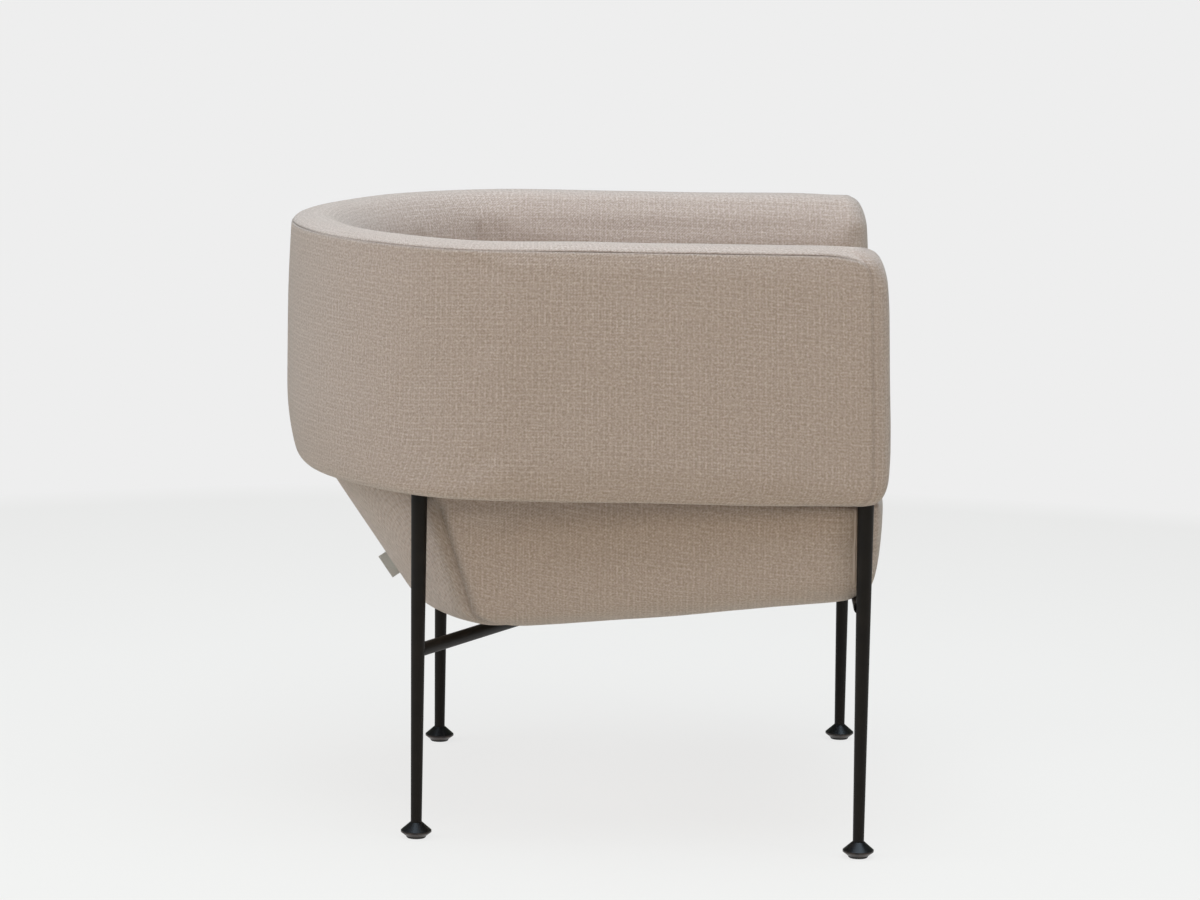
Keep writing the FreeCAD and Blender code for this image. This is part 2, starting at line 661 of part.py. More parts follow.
def screw(place, length):
    """Wood screw that points up, its head under the place."""
    head = Part.makeCylinder(size["screw_head_radius"], size["screw_head_height"],
                             place - Vector(0, 0, size["screw_head_height"]))
    return head.fuse(Part.makeCylinder(size["screw_radius"], length, place))


def screw_holes():
    """Clearance holes of all wood screws, in the chair's place."""
    radius = size["screw_radius"] + size["screw_clearance"]
    holes = [on_plate(Part.makeCylinder(radius, size["plate_screw_length"] + size["screw_clearance"],
                                        place)) for place in plate_screw_places()]
    holes += [Part.makeCylinder(radius, size["crossbar_screw_length"] + size["screw_clearance"], place)
              for place in crossbar_screw_places()]
    return Part.makeCompound(holes)


def clear_mount(shape):
    """Cuts the crossbar's groove and the holes of the screws."""
    return shape.cut(crossbar_recess()).cut(screw_holes())


def make_seat_mount():
    """Hub and plate that carry the seat, with the screws of plate and crossbar."""
    thickness = size["plate_thickness"]
    plate = Part.makeBox(size["plate_length"], size["plate_width"], thickness,
                         Vector(-size["plate_length"] / 2, -size["plate_width"] / 2, -thickness))
    plate = on_plate(plate)
    hub_bottom = size["brace_height"] - size["brace_radius"]
    hub = post(hub_place, size["hub_radius"], hub_bottom, plate_level)
    hub = hub.cut(on_plate(Part.makeBox(size["plate_length"], size["plate_length"], size["plate_length"],
                                        Vector(-size["plate_length"] / 2, -size["plate_length"] / 2,
                                               -thickness))))
    feature("seat_plate", plate.cut(screw_holes()))
    feature("brace_hub", hub)
    feature("plate_screws", Part.makeCompound(
        [on_plate(screw(place, size["plate_screw_length"])) for place in plate_screw_places()]))
    feature("crossbar_screws", Part.makeCompound(
        [screw(place, size["crossbar_screw_length"]) for place in crossbar_screw_places()]))


# Timber frame of the shell

rail_top = rail_bottom + size["rail_height"]
upper_rail_top = size["height"] - size["top_padding"]
upper_rail_bottom = upper_rail_top - size["rail_height"]
rail_front = -half_depth + size["rail_front_inset"]
rail_inner = size["rail_inset"] + size["rail_width"]


def bent_board(outer, bottom, top, draw=0.0):
    """Bent board that follows the plan."""
    thickness = size["board_thickness"]
    return prism(wall_wire(outer, outer + thickness, rail_front + size["rail_corner_radius"],
                           thickness * OUTER_CORNER_SHARE, thickness * INNER_CORNER_SHARE,
                           draw=draw, inner_draw=draw), bottom, top)


def frame_wire(outer, inner):
    """Outline of a rail; its outer side lies further in at the back."""
    bend = size["rail_corner_radius"]
    return wall_wire(outer, inner, rail_front, bend, bend, draw=size["rail_back_draw"])


def make_shell_frame():
    """Two rails, the uprights between them and a bent board on each side."""
    inset, board, draw = size["rail_inset"], size["board_thickness"], size["rail_back_draw"]
    lower = prism(frame_wire(inset, rail_inner), rail_bottom, rail_top)
    for place in LEG_PLACES:
        lower = lower.cut(post(place, size["insert_radius"] + size["soft_gap"],
                               rail_bottom, rail_bottom + size["insert_length"] + size["soft_gap"]))
    feature("shell_lower_rail", lower)
    outer = inset + board + size["soft_gap"]
    inner = rail_inner - board - size["soft_gap"]
    feature("shell_upper_rail", prism(frame_wire(outer, inner), upper_rail_bottom, upper_rail_top))
    feature("shell_outer_board", bent_board(inset, rail_top, upper_rail_top, draw))
    feature("shell_inner_board", bent_board(rail_inner - board, rail_top, upper_rail_top))
    inner_side = rail_inner - board - size["post_clearance"]
    reach = size["rail_width"] - 2 * board - 2 * size["post_clearance"]
    uprights = []
    arm_start = rail_front + size["post_width"] / 2
    for share in ARM_POST_SHARES:
        for side in (-1, 1):
            upright = upright_block(reach)
            upright.translate(Vector(side * (half_width - inner_side + reach / 2),
                                     arm_start + share * (curve_start - arm_start), 0))
            uprights.append(upright)
    back_radius, back_centre, turn_angle = back_arc(0)
    for angle in BACK_POST_ANGLES:
        upright = upright_block(reach - draw)
        upright.rotate(Vector(0, 0, 0), Vector(0, 0, 1), 90 - angle)
        upright.translate(polar(0, back_centre, back_radius - inner_side + (reach - draw) / 2,
                                math.radians(angle)))
        uprights.append(upright)
    feature("shell_uprights", Part.makeCompound(uprights))


def upright_block(reach):
    """Upright between the rails, its middle over the origin."""
    width = size["post_width"]
    return Part.makeBox(reach, width, upper_rail_bottom - rail_top,
                        Vector(-reach / 2, -width / 2, rail_top))


# Padding and covers of the shell

def leg_clearance():
    """Holes for the leg tubes in covers and padding."""
    radius = size["leg_top_radius"] + size["soft_gap"]
    bottom = size["shell_bottom"] - size["tool_overrun"]
    return Part.makeCompound([post(place, radius, bottom, rail_top) for place in LEG_PLACES])


def zone(inner, front, bottom, top, draw=0.0):
    """Block from outside the chair to an inset, behind a front plane, between two heights."""
    bend = size["cut_corner_radius"]
    return prism(wall_wire(-size["tool_overrun"], inner, front, bend, bend, inner_draw=draw),
                 bottom, top)


def make_shell_padding():
    """Outer wadding, and the thick padding that wraps the inside, the top and the arm fronts."""
    padding = shell_form(size["fabric_thickness"] + size["soft_gap"])
    gap, over = size["soft_gap"], size["tool_overrun"]
    outer = zone(size["rail_inset"] - gap, rail_front, rail_bottom, upper_rail_top,
                 size["rail_back_draw"])
    frame = zone(rail_inner + gap, rail_front - gap, size["shell_bottom"] - over, upper_rail_top + gap)
    feature("shell_outer_padding", padding.common(outer).cut(leg_clearance()))
    feature("shell_inner_padding", padding.cut(frame))


def make_shell_covers():
    """Fabric skin in two panels: the outer face, and the rest over top, inside and fronts."""
    skin = shell_form(0).cut(shell_form(size["fabric_thickness"])).cut(leg_clearance())
    seam = -half_depth + size["shell_seam_inset"]
    over, gap = size["tool_overrun"], size["seam_gap"]
    depth, draw = size["shell_bottom_roll"], size["shell_back_draw"]
    top = size["height"] - size["shell_edge_drop"]
    outer = zone(depth, seam, size["shell_bottom"] - over, top, draw)
    grown = zone(depth + gap, seam - gap, size["shell_bottom"] - over, top + gap, draw)
    feature("shell_outer_cover", skin.common(outer))
    feature("shell_inner_cover", skin.cut(grown))


# Seat frame, padding and covers

def make_seat_frame():
    """Base panel, four boards round it and the belts across them."""
    depth = size["fabric_thickness"] + size["soft_gap"] + size["seat_wadding"] + size["soft_gap"]
    lift, top = size["panel_lift"], size["seat_rail_top"]
    over = size["tool_overrun"]
    outside = seat_body(depth, top)
    panel_top = lift + size["panel_thickness"]
    feature("seat_base_panel", clear_mount(outside.common(raked_slab(lift, panel_top))))
    well = seat_body(depth + size["seat_rail_thickness"], top + over, rolled=False)
    ring = clear_mount(outside.common(raked_slab(panel_top, size["height"])).cut(well))
    front_end = seat_front + depth + size["seat_rail_thickness"] + size["seat_corner_radius"]
    seam_end = seat_front + seam_reach - size["seat_rail_thickness"]
    span = size["width"]
    front = Part.makeBox(span, front_end + half_depth, top, Vector(-span / 2, -half_depth, 0))
    rear = Part.makeBox(span, span, top, Vector(-span / 2, seam_end, 0))
    sides = ring.cut(front).cut(rear)
    feature("seat_front_rail", ring.common(front))
    feature("seat_rear_rail", ring.common(rear))
    half = Part.makeBox(span, 2 * span, top, Vector(0, -span, 0))
    feature("seat_left_rail", sides.common(half))
    feature("seat_right_rail", sides.cut(half))
    feature("seat_belts", make_belts(depth + size["belt_end_inset"], top))


def make_belts(inset, level):
    """Belts across the seat frame, with the long belts on top of the cross belts."""
    width, thick, pitch = size["belt_width"], size["belt_thickness"], size["belt_pitch"]
    outline = seat_body(inset, size["seat_rail_top"] + 2 * thick)
    middle = seat_front + rear_reach / 2
    belts = []
    for number in range(CROSS_BELTS):
        place = middle + (number - (CROSS_BELTS - 1) / 2) * pitch
        belt = Part.makeBox(size["width"], width, thick,
                            Vector(-half_width, place - width / 2, level))
        belts.append(belt.common(outline))
    for number in range(LONG_BELTS):
        place = (number - (LONG_BELTS - 1) / 2) * pitch
        belt = Part.makeBox(width, size["depth"], thick,
                            Vector(place - width / 2, -half_depth, level + thick))
        belts.append(belt.common(outline))
    return Part.makeCompound(belts)


def make_seat_padding():
    """Foam above the belts, and the wadding that wraps the frame and the belly."""
    form = seat_form(size["fabric_thickness"] + size["soft_gap"])
    belts_top = size["seat_rail_top"] + 2 * size["belt_thickness"]
    gap = size["soft_gap"]
    feature("seat_foam", form.common(slab(belts_top + gap, size["height"])))
    depth = size["fabric_thickness"] + gap + size["seat_wadding"]
    core = seat_body(depth, seat_shoulder - gap).common(
        raked_slab(size["panel_lift"] - size["panel_clearance"], size["height"]))
    feature("seat_wadding_wrap", clear_mount(form.common(slab(0, belts_top)).cut(core)))


def seam_block(lean_start):
    """Block behind the slanted rear seams."""
    over = size["tool_overrun"]
    span = size["width"]
    block = Part.makeBox(span + 2 * over, span, 2 * span, Vector(-span / 2 - over, 0, -span))
    block.rotate(Vector(0, 0, 0), Vector(1, 0, 0), -math.degrees(math.atan(CREASE_LEAN_SHARE)))
    block.translate(Vector(0, lean_start, 0))
    return raked(block)


def make_seat_covers():
    """Fabric skin in five panels: top with front, two sides, rear and belly."""
    gap, over, span = size["seam_gap"], size["tool_overrun"], size["width"]
    skin = clear_mount(seat_form(0).cut(seat_form(size["fabric_thickness"])))
    clear = size["shell_thickness"] + size["shell_crown"]
    front = seat_front + size["seat_corner_radius"]
    shoulder = seat_shoulder - size["fabric_thickness"]
    inner_x = half_width - clear
    left_end, right_end = Vector(inner_x, -half_depth - over, 0), Vector(-inner_x, -half_depth - over, 0)
    edges = back_curve(clear, left_end, right_end)
    edges.append(line(left_end, right_end))
    inside = prism(Part.Wire(edges), shoulder - gap, size["height"])
    front_block = Part.makeBox(span, front + half_depth + over, size["height"],
                               Vector(-span / 2, -half_depth - over, 0))
    belly_level = size["belly_roll_height"] * BELLY_SHARES[3][1]
    belly = raked_slab(-over, belly_level)
    feature("seat_dust_cover", skin.common(belly))
    rest = skin.cut(raked_slab(-over, belly_level + gap))
    top_zone = inside.fuse(front_block)
    feature("seat_top_cover", rest.common(top_zone))
    rest = rest.cut(top_zone)
    seam = seam_reach
    feature("seat_rear_cover", rest.common(seam_block(seam + gap)))
    sides = rest.cut(seam_block(seam))
    half = Part.makeBox(span, 2 * span, size["height"], Vector(0, -span, 0))
    feature("seat_left_cover", sides.common(half))
    feature("seat_right_cover", sides.cut(half))


def make_tag():
    """Plain folded tag that stands out of the rear seam."""
    slope = math.degrees(math.atan(REAR_SLOPE_SHARE))
    tag = Part.makeBox(size["tag_thickness"], size["tag_reach"], size["tag_length"],
                       Vector(-size["tag_thickness"] / 2, size["soft_gap"], 0))
    tag.rotate(Vector(0, 0, 0), Vector(1, 0, 0), -slope)
    tag.translate(Vector(0, rear_reach + REAR_SLOPE_SHARE * size["tag_height"],
                         size["tag_height"]))
    feature("rear_tag", raked(tag))


def make_chair():
    for name, (across, along) in LEGS.items():
        make_leg(name, across, along)
        make_foot(name, across, along)
        make_glide(name, across, along)
    make_studs()
    make_inserts()
    make_crossbar()
    make_brace("right_rear_brace", LEG_PLACES[2])
    make_brace("left_rear_brace", LEG_PLACES[3])
    make_seat_mount()
    make_shell_frame()
    make_shell_padding()
    make_shell_covers()
    make_seat_frame()
    make_seat_padding()
    make_seat_covers()
    make_tag()


def check_document():
    """Stops when an object has failed or a sub-part is empty or invalid."""
    for item in doc.Objects:
        bad = [state for state in item.State if state in ("Invalid", "Error")]
        if bad:
            raise RuntimeError(f"{item.Label} is {bad}")
    for name, item in parts.items():
        shape = item.Shape
        if shape.isNull() or not shape.isValid() or not shape.Solids:
            raise RuntimeError(f"{name} is not a valid solid")


def write_parts():
    os.makedirs("parts", exist_ok=True)
    for name, item in parts.items():
        item.Shape.exportStep(os.path.join("parts", name + ".step"))
        box = item.Shape.BoundBox
        print(f"{name:22s} {len(item.Shape.Solids):2d} solids, "
              f"x {box.XMin:7.1f} {box.XMax:7.1f}  y {box.YMin:7.1f} {box.YMax:7.1f}  "
              f"z {box.ZMin:6.1f} {box.ZMax:6.1f}  {item.Shape.Volume / 1000:9.1f} cm3")


make_chair()
doc.recompute()
check_document()
write_parts()
print(len(parts), "sub-parts written")
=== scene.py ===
import math

import bpy
from mathutils import Matrix, Vector, noise
from mathutils.kdtree import KDTree


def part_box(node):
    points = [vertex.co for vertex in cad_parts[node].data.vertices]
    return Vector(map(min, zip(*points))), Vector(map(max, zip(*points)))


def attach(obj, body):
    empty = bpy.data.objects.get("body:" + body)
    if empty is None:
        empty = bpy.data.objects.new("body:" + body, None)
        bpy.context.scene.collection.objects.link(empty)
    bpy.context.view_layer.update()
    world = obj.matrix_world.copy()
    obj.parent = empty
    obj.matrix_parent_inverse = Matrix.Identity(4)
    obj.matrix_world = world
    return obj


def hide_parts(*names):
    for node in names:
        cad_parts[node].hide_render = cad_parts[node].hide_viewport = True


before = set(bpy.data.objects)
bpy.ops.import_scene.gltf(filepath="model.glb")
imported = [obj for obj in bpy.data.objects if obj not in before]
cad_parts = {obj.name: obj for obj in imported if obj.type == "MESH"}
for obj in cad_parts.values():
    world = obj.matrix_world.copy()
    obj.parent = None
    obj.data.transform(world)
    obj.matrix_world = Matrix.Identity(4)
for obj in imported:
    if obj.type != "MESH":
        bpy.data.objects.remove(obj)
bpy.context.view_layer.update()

# Lounge chair: padded shell, upholstered seat, black steel base. Metres, front towards -Y.

bpy.ops.object.select_all(action="DESELECT")


def mix(a, b, t):
    return a + (b - a) * t


def smooth(t):
    t = min(1.0, max(0.0, t))
    return t * t * (3 - 2 * t)


def roundPull(share):
    # how far a quarter round has drawn in: 1 at its end, 0 where it meets the wall
    return 1 - math.sqrt(max(0.0, 1 - (1 - min(max(share, 0.0), 1.0)) ** 2))


def hashNoise(point, scale, seed=0.0):
    return noise.noise(Vector(point) * scale + Vector((seed, seed * 1.7, -seed)))


# camera fitted to the photo
camera = {
    "place": (-5.7266576, -0.105732, 1.2760793),
    "yaw": 0.0300695, "pitch": 0.1384076, "roll": 0.0122766,
    "lens": 143.22, "shiftX": 0.06, "shiftY": -0.04,
}


def placeCamera():
    yaw, pitch, roll = camera["yaw"], camera["pitch"], camera["roll"]
    ahead = Vector((math.cos(pitch) * math.cos(yaw), math.cos(pitch) * math.sin(yaw), -math.sin(pitch)))
    level = ahead.cross(Vector((0, 0, 1))).normalized()
    lift = level.cross(ahead)
    right = level * math.cos(roll) + lift * math.sin(roll)
    up = lift * math.cos(roll) - level * math.sin(roll)
    data = bpy.data.cameras.new("photoCamera")
    data.lens, data.sensor_width = camera["lens"], 36
    data.shift_x, data.shift_y = camera["shiftX"], camera["shiftY"]
    data.clip_start, data.clip_end = 0.1, 100
    eye = bpy.data.objects.new("photoCamera", data)
    turn = Matrix((right, up, -ahead)).transposed().to_4x4()
    eye.matrix_world = Matrix.Translation(Vector(camera["place"])) @ turn
    bpy.context.scene.collection.objects.link(eye)
    bpy.context.scene.camera = eye


placeCamera()
print("camera stands at the photo's place")


# curves in plan
def arcPoints(first, middle, last, count):
    # count + 1 points on the circle through three points
    ax, ay = first
    bx, by = middle
    cx, cy = last
    d = 2 * (ax * (by - cy) + bx * (cy - ay) + cx * (ay - by))
    aa, bb, cc = ax * ax + ay * ay, bx * bx + by * by, cx * cx + cy * cy
    ux = (aa * (by - cy) + bb * (cy - ay) + cc * (ay - by)) / d
    uy = (aa * (cx - bx) + bb * (ax - cx) + cc * (bx - ax)) / d
    radius = math.hypot(ax - ux, ay - uy)
    start = math.atan2(ay - uy, ax - ux)
    through = math.atan2(by - uy, bx - ux) - start
    sweep = math.atan2(cy - uy, cx - ux) - start
    through %= 2 * math.pi
    sweep %= 2 * math.pi
    if through > sweep:
        sweep -= 2 * math.pi
    return [(ux + radius * math.cos(start + sweep * i / count),
             uy + radius * math.sin(start + sweep * i / count)) for i in range(count + 1)]


def alongPath(path, shares):
    # points at shares of the length of a polyline
    lengths = [0.0]
    for a, b in zip(path, path[1:]):
        lengths.append(lengths[-1] + math.dist(a, b))
    total, found, k = lengths[-1], [], 0
    for share in shares:
        want = share * total
        while k < len(path) - 2 and lengths[k + 1] < want:
            k += 1
        span = lengths[k + 1] - lengths[k]
        t = (want - lengths[k]) / span if span > 1e-9 else 0.0
        found.append(tuple(mix(p, q, t) for p, q in zip(path[k], path[k + 1])))
    return found


def spread(total, count, nearStart=(), nearEnd=()):
    # shares from 0 to 1, with given short steps near either end
    start = [0.0] + [x / total for x in nearStart]
    end = [1 - x / total for x in reversed(nearEnd)] + [1.0]
    left = count - len(nearStart) - len(nearEnd)
    middle = [mix(start[-1], end[0], i / left) for i in range(1, left)]
    return start + middle + end


# padded shell
shell = {
    "halfWidth": 0.350, "halfDepth": 0.3575, "bottom": 0.4095, "top": 0.7065, "wall": 0.075,
    "backDepth": 0.278, "sideRadius": 0.200, "bottomRoll": 0.014,
    "topRollWidth": 0.036, "topRollDrop": 0.042, "crest": 0.032, "seamDrop": 0.007, "outerLean": 0.004,
    "frontLean": 0.008, "frontRollLength": 0.027, "frontRollDrop": 0.040,
    "frontLowLength": 0.024, "frontLowRise": 0.034,
    "outerCorner": 0.24, "innerCorner": 0.36, "swell": 0.003,
    "backDraw": 0.014, "backDrawHeight": 0.092,
    "seamInset": 0.018, "seamDip": 0.012, "seamBend": 0.028, "bandSlope": 0.045,
    "tipRounds": 9, "tipDrop": 0.038, "tipFade": 0.02, "tipDepth": 0.085, "tipDepthFade": 0.035,
    "give": 0.0022, "waves": 0.0011, "seamPull": 0.0022, "seamReach": 0.0042, "seamPucker": 0.0002,
    "seamShadeReach": 0.0030, "uprightSeam": 0.38, "seamHold": 0.008,
    "armColumns": 52, "sideColumns": 16, "backColumns": 88, "frontColumns": 18, "wallRows": 27,
}


def backArc(draw):
    side, reach = shell["sideRadius"], shell["backDepth"] - draw
    half = shell["halfWidth"] - side
    radius = (half ** 2 + reach ** 2 - side ** 2) / (2 * (reach - side))
    curveStart = shell["halfDepth"] - shell["backDepth"]
    centre = curveStart + reach - radius
    return radius, centre, math.atan2(half, curveStart - centre)


def runPoints(inset, start, draw=0.0, first=(), sideColumns=None):
    # one side's outline from the right arm's front round the back to the left arm's front
    half, curveStart = shell["halfWidth"], shell["halfDepth"] - shell["backDepth"]
    side, offset = shell["sideRadius"] - inset, half - shell["sideRadius"]
    radius, centre, turn = backArc(draw)
    back = radius - inset
    arm = [start + (curveStart - start) * s for s in spread(curveStart - start, shell["armColumns"], first)]
    points = [(-half + inset, y) for y in arm]
    for i in range(1, shell["sideColumns"] + 1):
        angle = math.pi / 2 - (math.pi / 2 - turn) * i / shell["sideColumns"]
        points.append((-offset - side * math.sin(angle), curveStart + side * math.cos(angle)))
    for i in range(1, shell["backColumns"] + 1):
        angle = turn * (2 * i / shell["backColumns"] - 1)
        points.append((back * math.sin(angle), centre + back * math.cos(angle)))
    points[len(arm) + shell["sideColumns"] - 1] = (-back * math.sin(turn), centre + back * math.cos(turn))
    mirrored = [(-x, y) for x, y in points[:len(arm) + shell["sideColumns"] - 1]]
    return points + list(reversed(mirrored))


def shellRows():
    # each row: outer inset and height along the arm, the same at the arm front, inner inset and height,
    # and how tightly it bends at the arm front
    top, bottom, roll = shell["top"], shell["bottom"], shell["bottomRoll"]
    height = top - bottom
    rows, marks = [], {}

    def outerAt(z):
        return shell["outerLean"] * ((z - bottom) / height) ** 3

    def innerAt(z):
        return shell["wall"] + shell["swell"] * math.sin(math.pi * (z - bottom) / height)

    middle = shell["wall"] / 2
    for share in (0.0, 0.3, 0.6, 0.85):
        d = mix(middle, roll, share)
        e = mix(middle, shell["wall"] - roll, share)
        rows.append((d, bottom, d, bottom, e, bottom, 1.0))
    marks["under"] = len(rows)
    for angle in (0, 18, 36, 54, 72, 90):
        low = roll * (1 - math.sin(math.radians(angle)))
        z = bottom + roll * (1 - math.cos(math.radians(angle)))
        rows.append((low + outerAt(z), z, low + outerAt(z), z, innerAt(z) - low, z, 1.0))
    wallTop, frontTop, innerTop = 0.042, 0.050, shell["topRollDrop"]
    for k in range(1, shell["wallRows"]):
        t = k / shell["wallRows"]
        z, zf, zi = (mix(bottom + roll, top - drop, t) for drop in (wallTop, frontTop, innerTop))
        rows.append((outerAt(z), z, outerAt(zf), zf, innerAt(zi), zi, 1.0))
    drops = (wallTop, 0.033, 0.026, 0.0195, 0.0145, 0.0112, 0.0089, shell["seamDrop"])
    fronts = (frontTop, 0.043, 0.0365, 0.031, 0.0265, 0.0232, 0.0209, shell["seamDrop"] + shell["seamDip"])
    steps = len(drops) - 1 + 6
    for k in range(steps + 1):
        angle = math.radians(90 * min(k, steps - 1) / (steps - 1))
        zi = top - shell["topRollDrop"] * (1 - math.sin(angle))
        inner = innerAt(zi) - shell["topRollWidth"] * (1 - math.cos(angle))
        if k == steps:
            inner = shell["crest"]
        if k < len(drops):
            z, zf, tight = top - drops[k], top - fronts[k], 1.0
            outer, outerFront = outerAt(z), outerAt(zf)
        else:
            t = (0.06, 0.16, 0.32, 0.55, 0.78, 1.0)[k - len(drops)]
            tight = max(0.0, 0.75 - 3.5 * t)
            reach = shell["crest"] - shell["outerLean"]
            outer, z = shell["outerLean"] + reach * t, top - shell["seamDrop"] * (1 - t) ** 2
            phi = math.radians(90 * t)
            outerFront = shell["outerLean"] + reach * (1 - math.cos(phi))
            zf = top - fronts[-1] * (1 - math.sin(phi))
        if k == len(drops) - 1:
            marks["seam"] = len(rows)
        rows.append((outer, z, outerFront, zf, inner, zi, tight))
    return rows, marks


def shellLoop(row):
    outer, z, outerFront, zFront, inner, zInner, tight = row
    top, bottom, roll = shell["top"], shell["bottom"], shell["bottomRoll"]
    level = (zFront + zInner) / 2
    rise = (level - bottom) / (top - bottom)
    low = shell["frontLowLength"] * roundPull((level - bottom) / shell["frontLowRise"])
    breadth = inner - outerFront
    front = (-shell["halfDepth"] + low + shell["frontLean"] * rise
             + shell["frontRollLength"] * roundPull((top - level) / shell["frontRollDrop"]))
    if zFront <= bottom + 1e-6:
        front += max(0.0, outer - roll)
    front += max(0.0, 0.014 - breadth) / 2 if zFront > top - 0.02 else 0.0
    lowShare = max(0.0, 1 - (z - bottom) / shell["backDrawHeight"])
    draw = shell["backDraw"] * lowShare ** 2
    half = shell["halfWidth"]
    seam = front + shell["seamInset"]
    near = (0.0015, 0.004, 0.008, 0.014)
    loop = []
    for x, y in runPoints(outer, seam, draw, near):
        # the seam turns down in a tight bend, and the band above it slopes off gently
        gentle = max(0.0, 1 - (y - seam) / shell["bandSlope"]) ** 1.6
        t = mix(gentle, roundPull((y - seam) / shell["seamBend"]), tight)
        inset = (outerFront - outer) * t
        loop.append((x + math.copysign(inset, -x), y, mix(z, zFront, t)))
    outerRound = min(breadth * shell["outerCorner"], shell["seamInset"])
    innerRound = breadth * shell["innerCorner"]
    innerStart = front + max(innerRound, shell["seamInset"])
    xo, xi = half - outerFront, half - inner
    bend = []
    for i in range(9):
        angle = math.pi / 2 * i / 8
        bend.append((xo - outerRound * (1 - math.cos(angle)), front + outerRound * (1 - math.sin(angle))))
    for i in range(9):
        angle = math.pi / 2 * i / 8
        bend.append((xi + innerRound * (1 - math.sin(angle)), front + innerRound * (1 - math.cos(angle))))
    path = [(xo, seam)] + bend + [(xi, innerStart)]
    length = sum(math.dist(a, b) for a, b in zip(path, path[1:]))
    shares = spread(length, shell["frontColumns"], near[:2], near[:2])
    corner = []
    for share, (x, y) in zip(shares, alongPath(path, shares)):
        corner.append((x, y, mix(zFront, zInner, smooth(share))))
    loop += corner[1:-1]
    inside = [(x, y, zInner) for x, y in runPoints(inner, innerStart, 0.0, near)]
    loop += reversed(inside)
    loop += [(-x, y, z) for x, y, z in reversed(corner[1:-1])]
    return loop


def gridMesh(name, loops, tag):
    # rows of closed loops become a mesh; tag names the panel of a quad from its row and column
    count = len(loops[0])
    points = [p for loop in loops for p in loop]
    faces, tags, uvs = [], [], []
    across, up = flatLengths(loops)
    for r in range(len(loops) - 1):
        for c in range(count):
            n = (c + 1) % count
            faces.append((r * count + c, r * count + n, (r + 1) * count + n, (r + 1) * count + c))
            tags.append(tag(r, c))
            uvs.append([(across[c], up[r][c]), (across[c + 1], up[r][n]),
                        (across[c + 1], up[r + 1][n]), (across[c], up[r + 1][c])])
    mesh = bpy.data.meshes.new(name)
    mesh.from_pydata(points, [], faces)
    layer = mesh.uv_layers.new(name="clothMap")
    k = 0
    for uv in uvs:
        for pair in uv:
            layer.data[k].uv = pair
            k += 1
    names = sorted(set(tags))
    attribute = mesh.attributes.new("panel", "INT", "FACE")
    attribute.data.foreach_set("value", [names.index(t) for t in tags])
    return mesh, names


def flatLengths(loops):
    # cloth lengths: along the wall's middle row, so that threads stay upright, and up each column
    count = len(loops[0])
    across, up = [0.0], []
    middle = loops[len(loops) // 2]
    for c in range(count):
        across.append(across[-1] + math.dist(middle[c], middle[(c + 1) % count]))
    for r, loop in enumerate(loops):
        up.append([0.0] * count if r == 0 else
                  [up[-1][c] + math.dist(loops[r - 1][c], loop[c]) for c in range(count)])
    return across, up


def easeTips(loops, first, mirror):
    # evens out the grid at the arms' top front corners, where the top seam turns down
    count, last = len(loops[0]), len(loops) - 1
    low, front = shell["top"] - shell["tipDrop"], -shell["halfDepth"] + shell["tipDepth"]
    for _ in range(shell["tipRounds"]):
        before = [list(loop) for loop in loops]
        for r in range(first, len(loops)):
            for c, (x, y, z) in enumerate(before[r]):
                forward = smooth((front - y) / shell["tipDepthFade"])
                weight = 0.5 * forward * smooth((z - low) / shell["tipFade"])
                if weight <= 0:
                    continue
                above = before[r + 1][c] if r < last else before[r - 1][(mirror - c) % count]
                around = (before[r][c - 1], before[r][(c + 1) % count], before[r - 1][c], above)
                loops[r][c] = tuple(mix(p, sum(q[k] for q in around) / 4, weight)
                                    for k, p in enumerate((x, y, z)))


def buildShell():
    rows, marks = shellRows()
    loops = [shellLoop(row) for row in rows]
    run = len(runPoints(0.0, -0.3))
    seam, under = marks["seam"], marks["under"]
    easeTips(loops, seam - 7, 2 * run + 16)

    def tag(r, c):
        return "outer" if under <= r < seam and c < run - 1 else "inner"

    mesh, names = gridMesh("shellUpholstery", loops, tag)
    seams = {
        "top": [seam * len(loops[0]) + c for c in range(run)],
        "under": [under * len(loops[0]) + c for c in range(run)],
        "right": [r * len(loops[0]) for r in range(under, seam + 1)],
        "left": [r * len(loops[0]) + run - 1 for r in range(under, seam + 1)],
    }
    return mesh, names, seams


# cloth work
def linked(mesh, name):
    obj = bpy.data.objects.new(name, mesh)
    bpy.context.scene.collection.objects.link(obj)
    return obj


def pick(obj):
    bpy.ops.object.select_all(action="DESELECT")
    obj.select_set(True)
    bpy.context.view_layer.objects.active = obj


def cleanMesh(obj, reach=0.0002):
    pick(obj)
    bpy.ops.object.mode_set(mode="EDIT")
    bpy.ops.mesh.select_all(action="SELECT")
    bpy.ops.mesh.remove_doubles(threshold=reach)
    bpy.ops.mesh.normals_make_consistent(inside=False)
    bpy.ops.object.mode_set(mode="OBJECT")


def applyAll(obj):
    pick(obj)
    for modifier in list(obj.modifiers):
        bpy.ops.object.modifier_apply(modifier=modifier.name)


padding = {"quality": 5, "mass": 0.3, "stretch": 15, "shear": 8, "bend": 2.5, "hold": 4, "frames": 20}


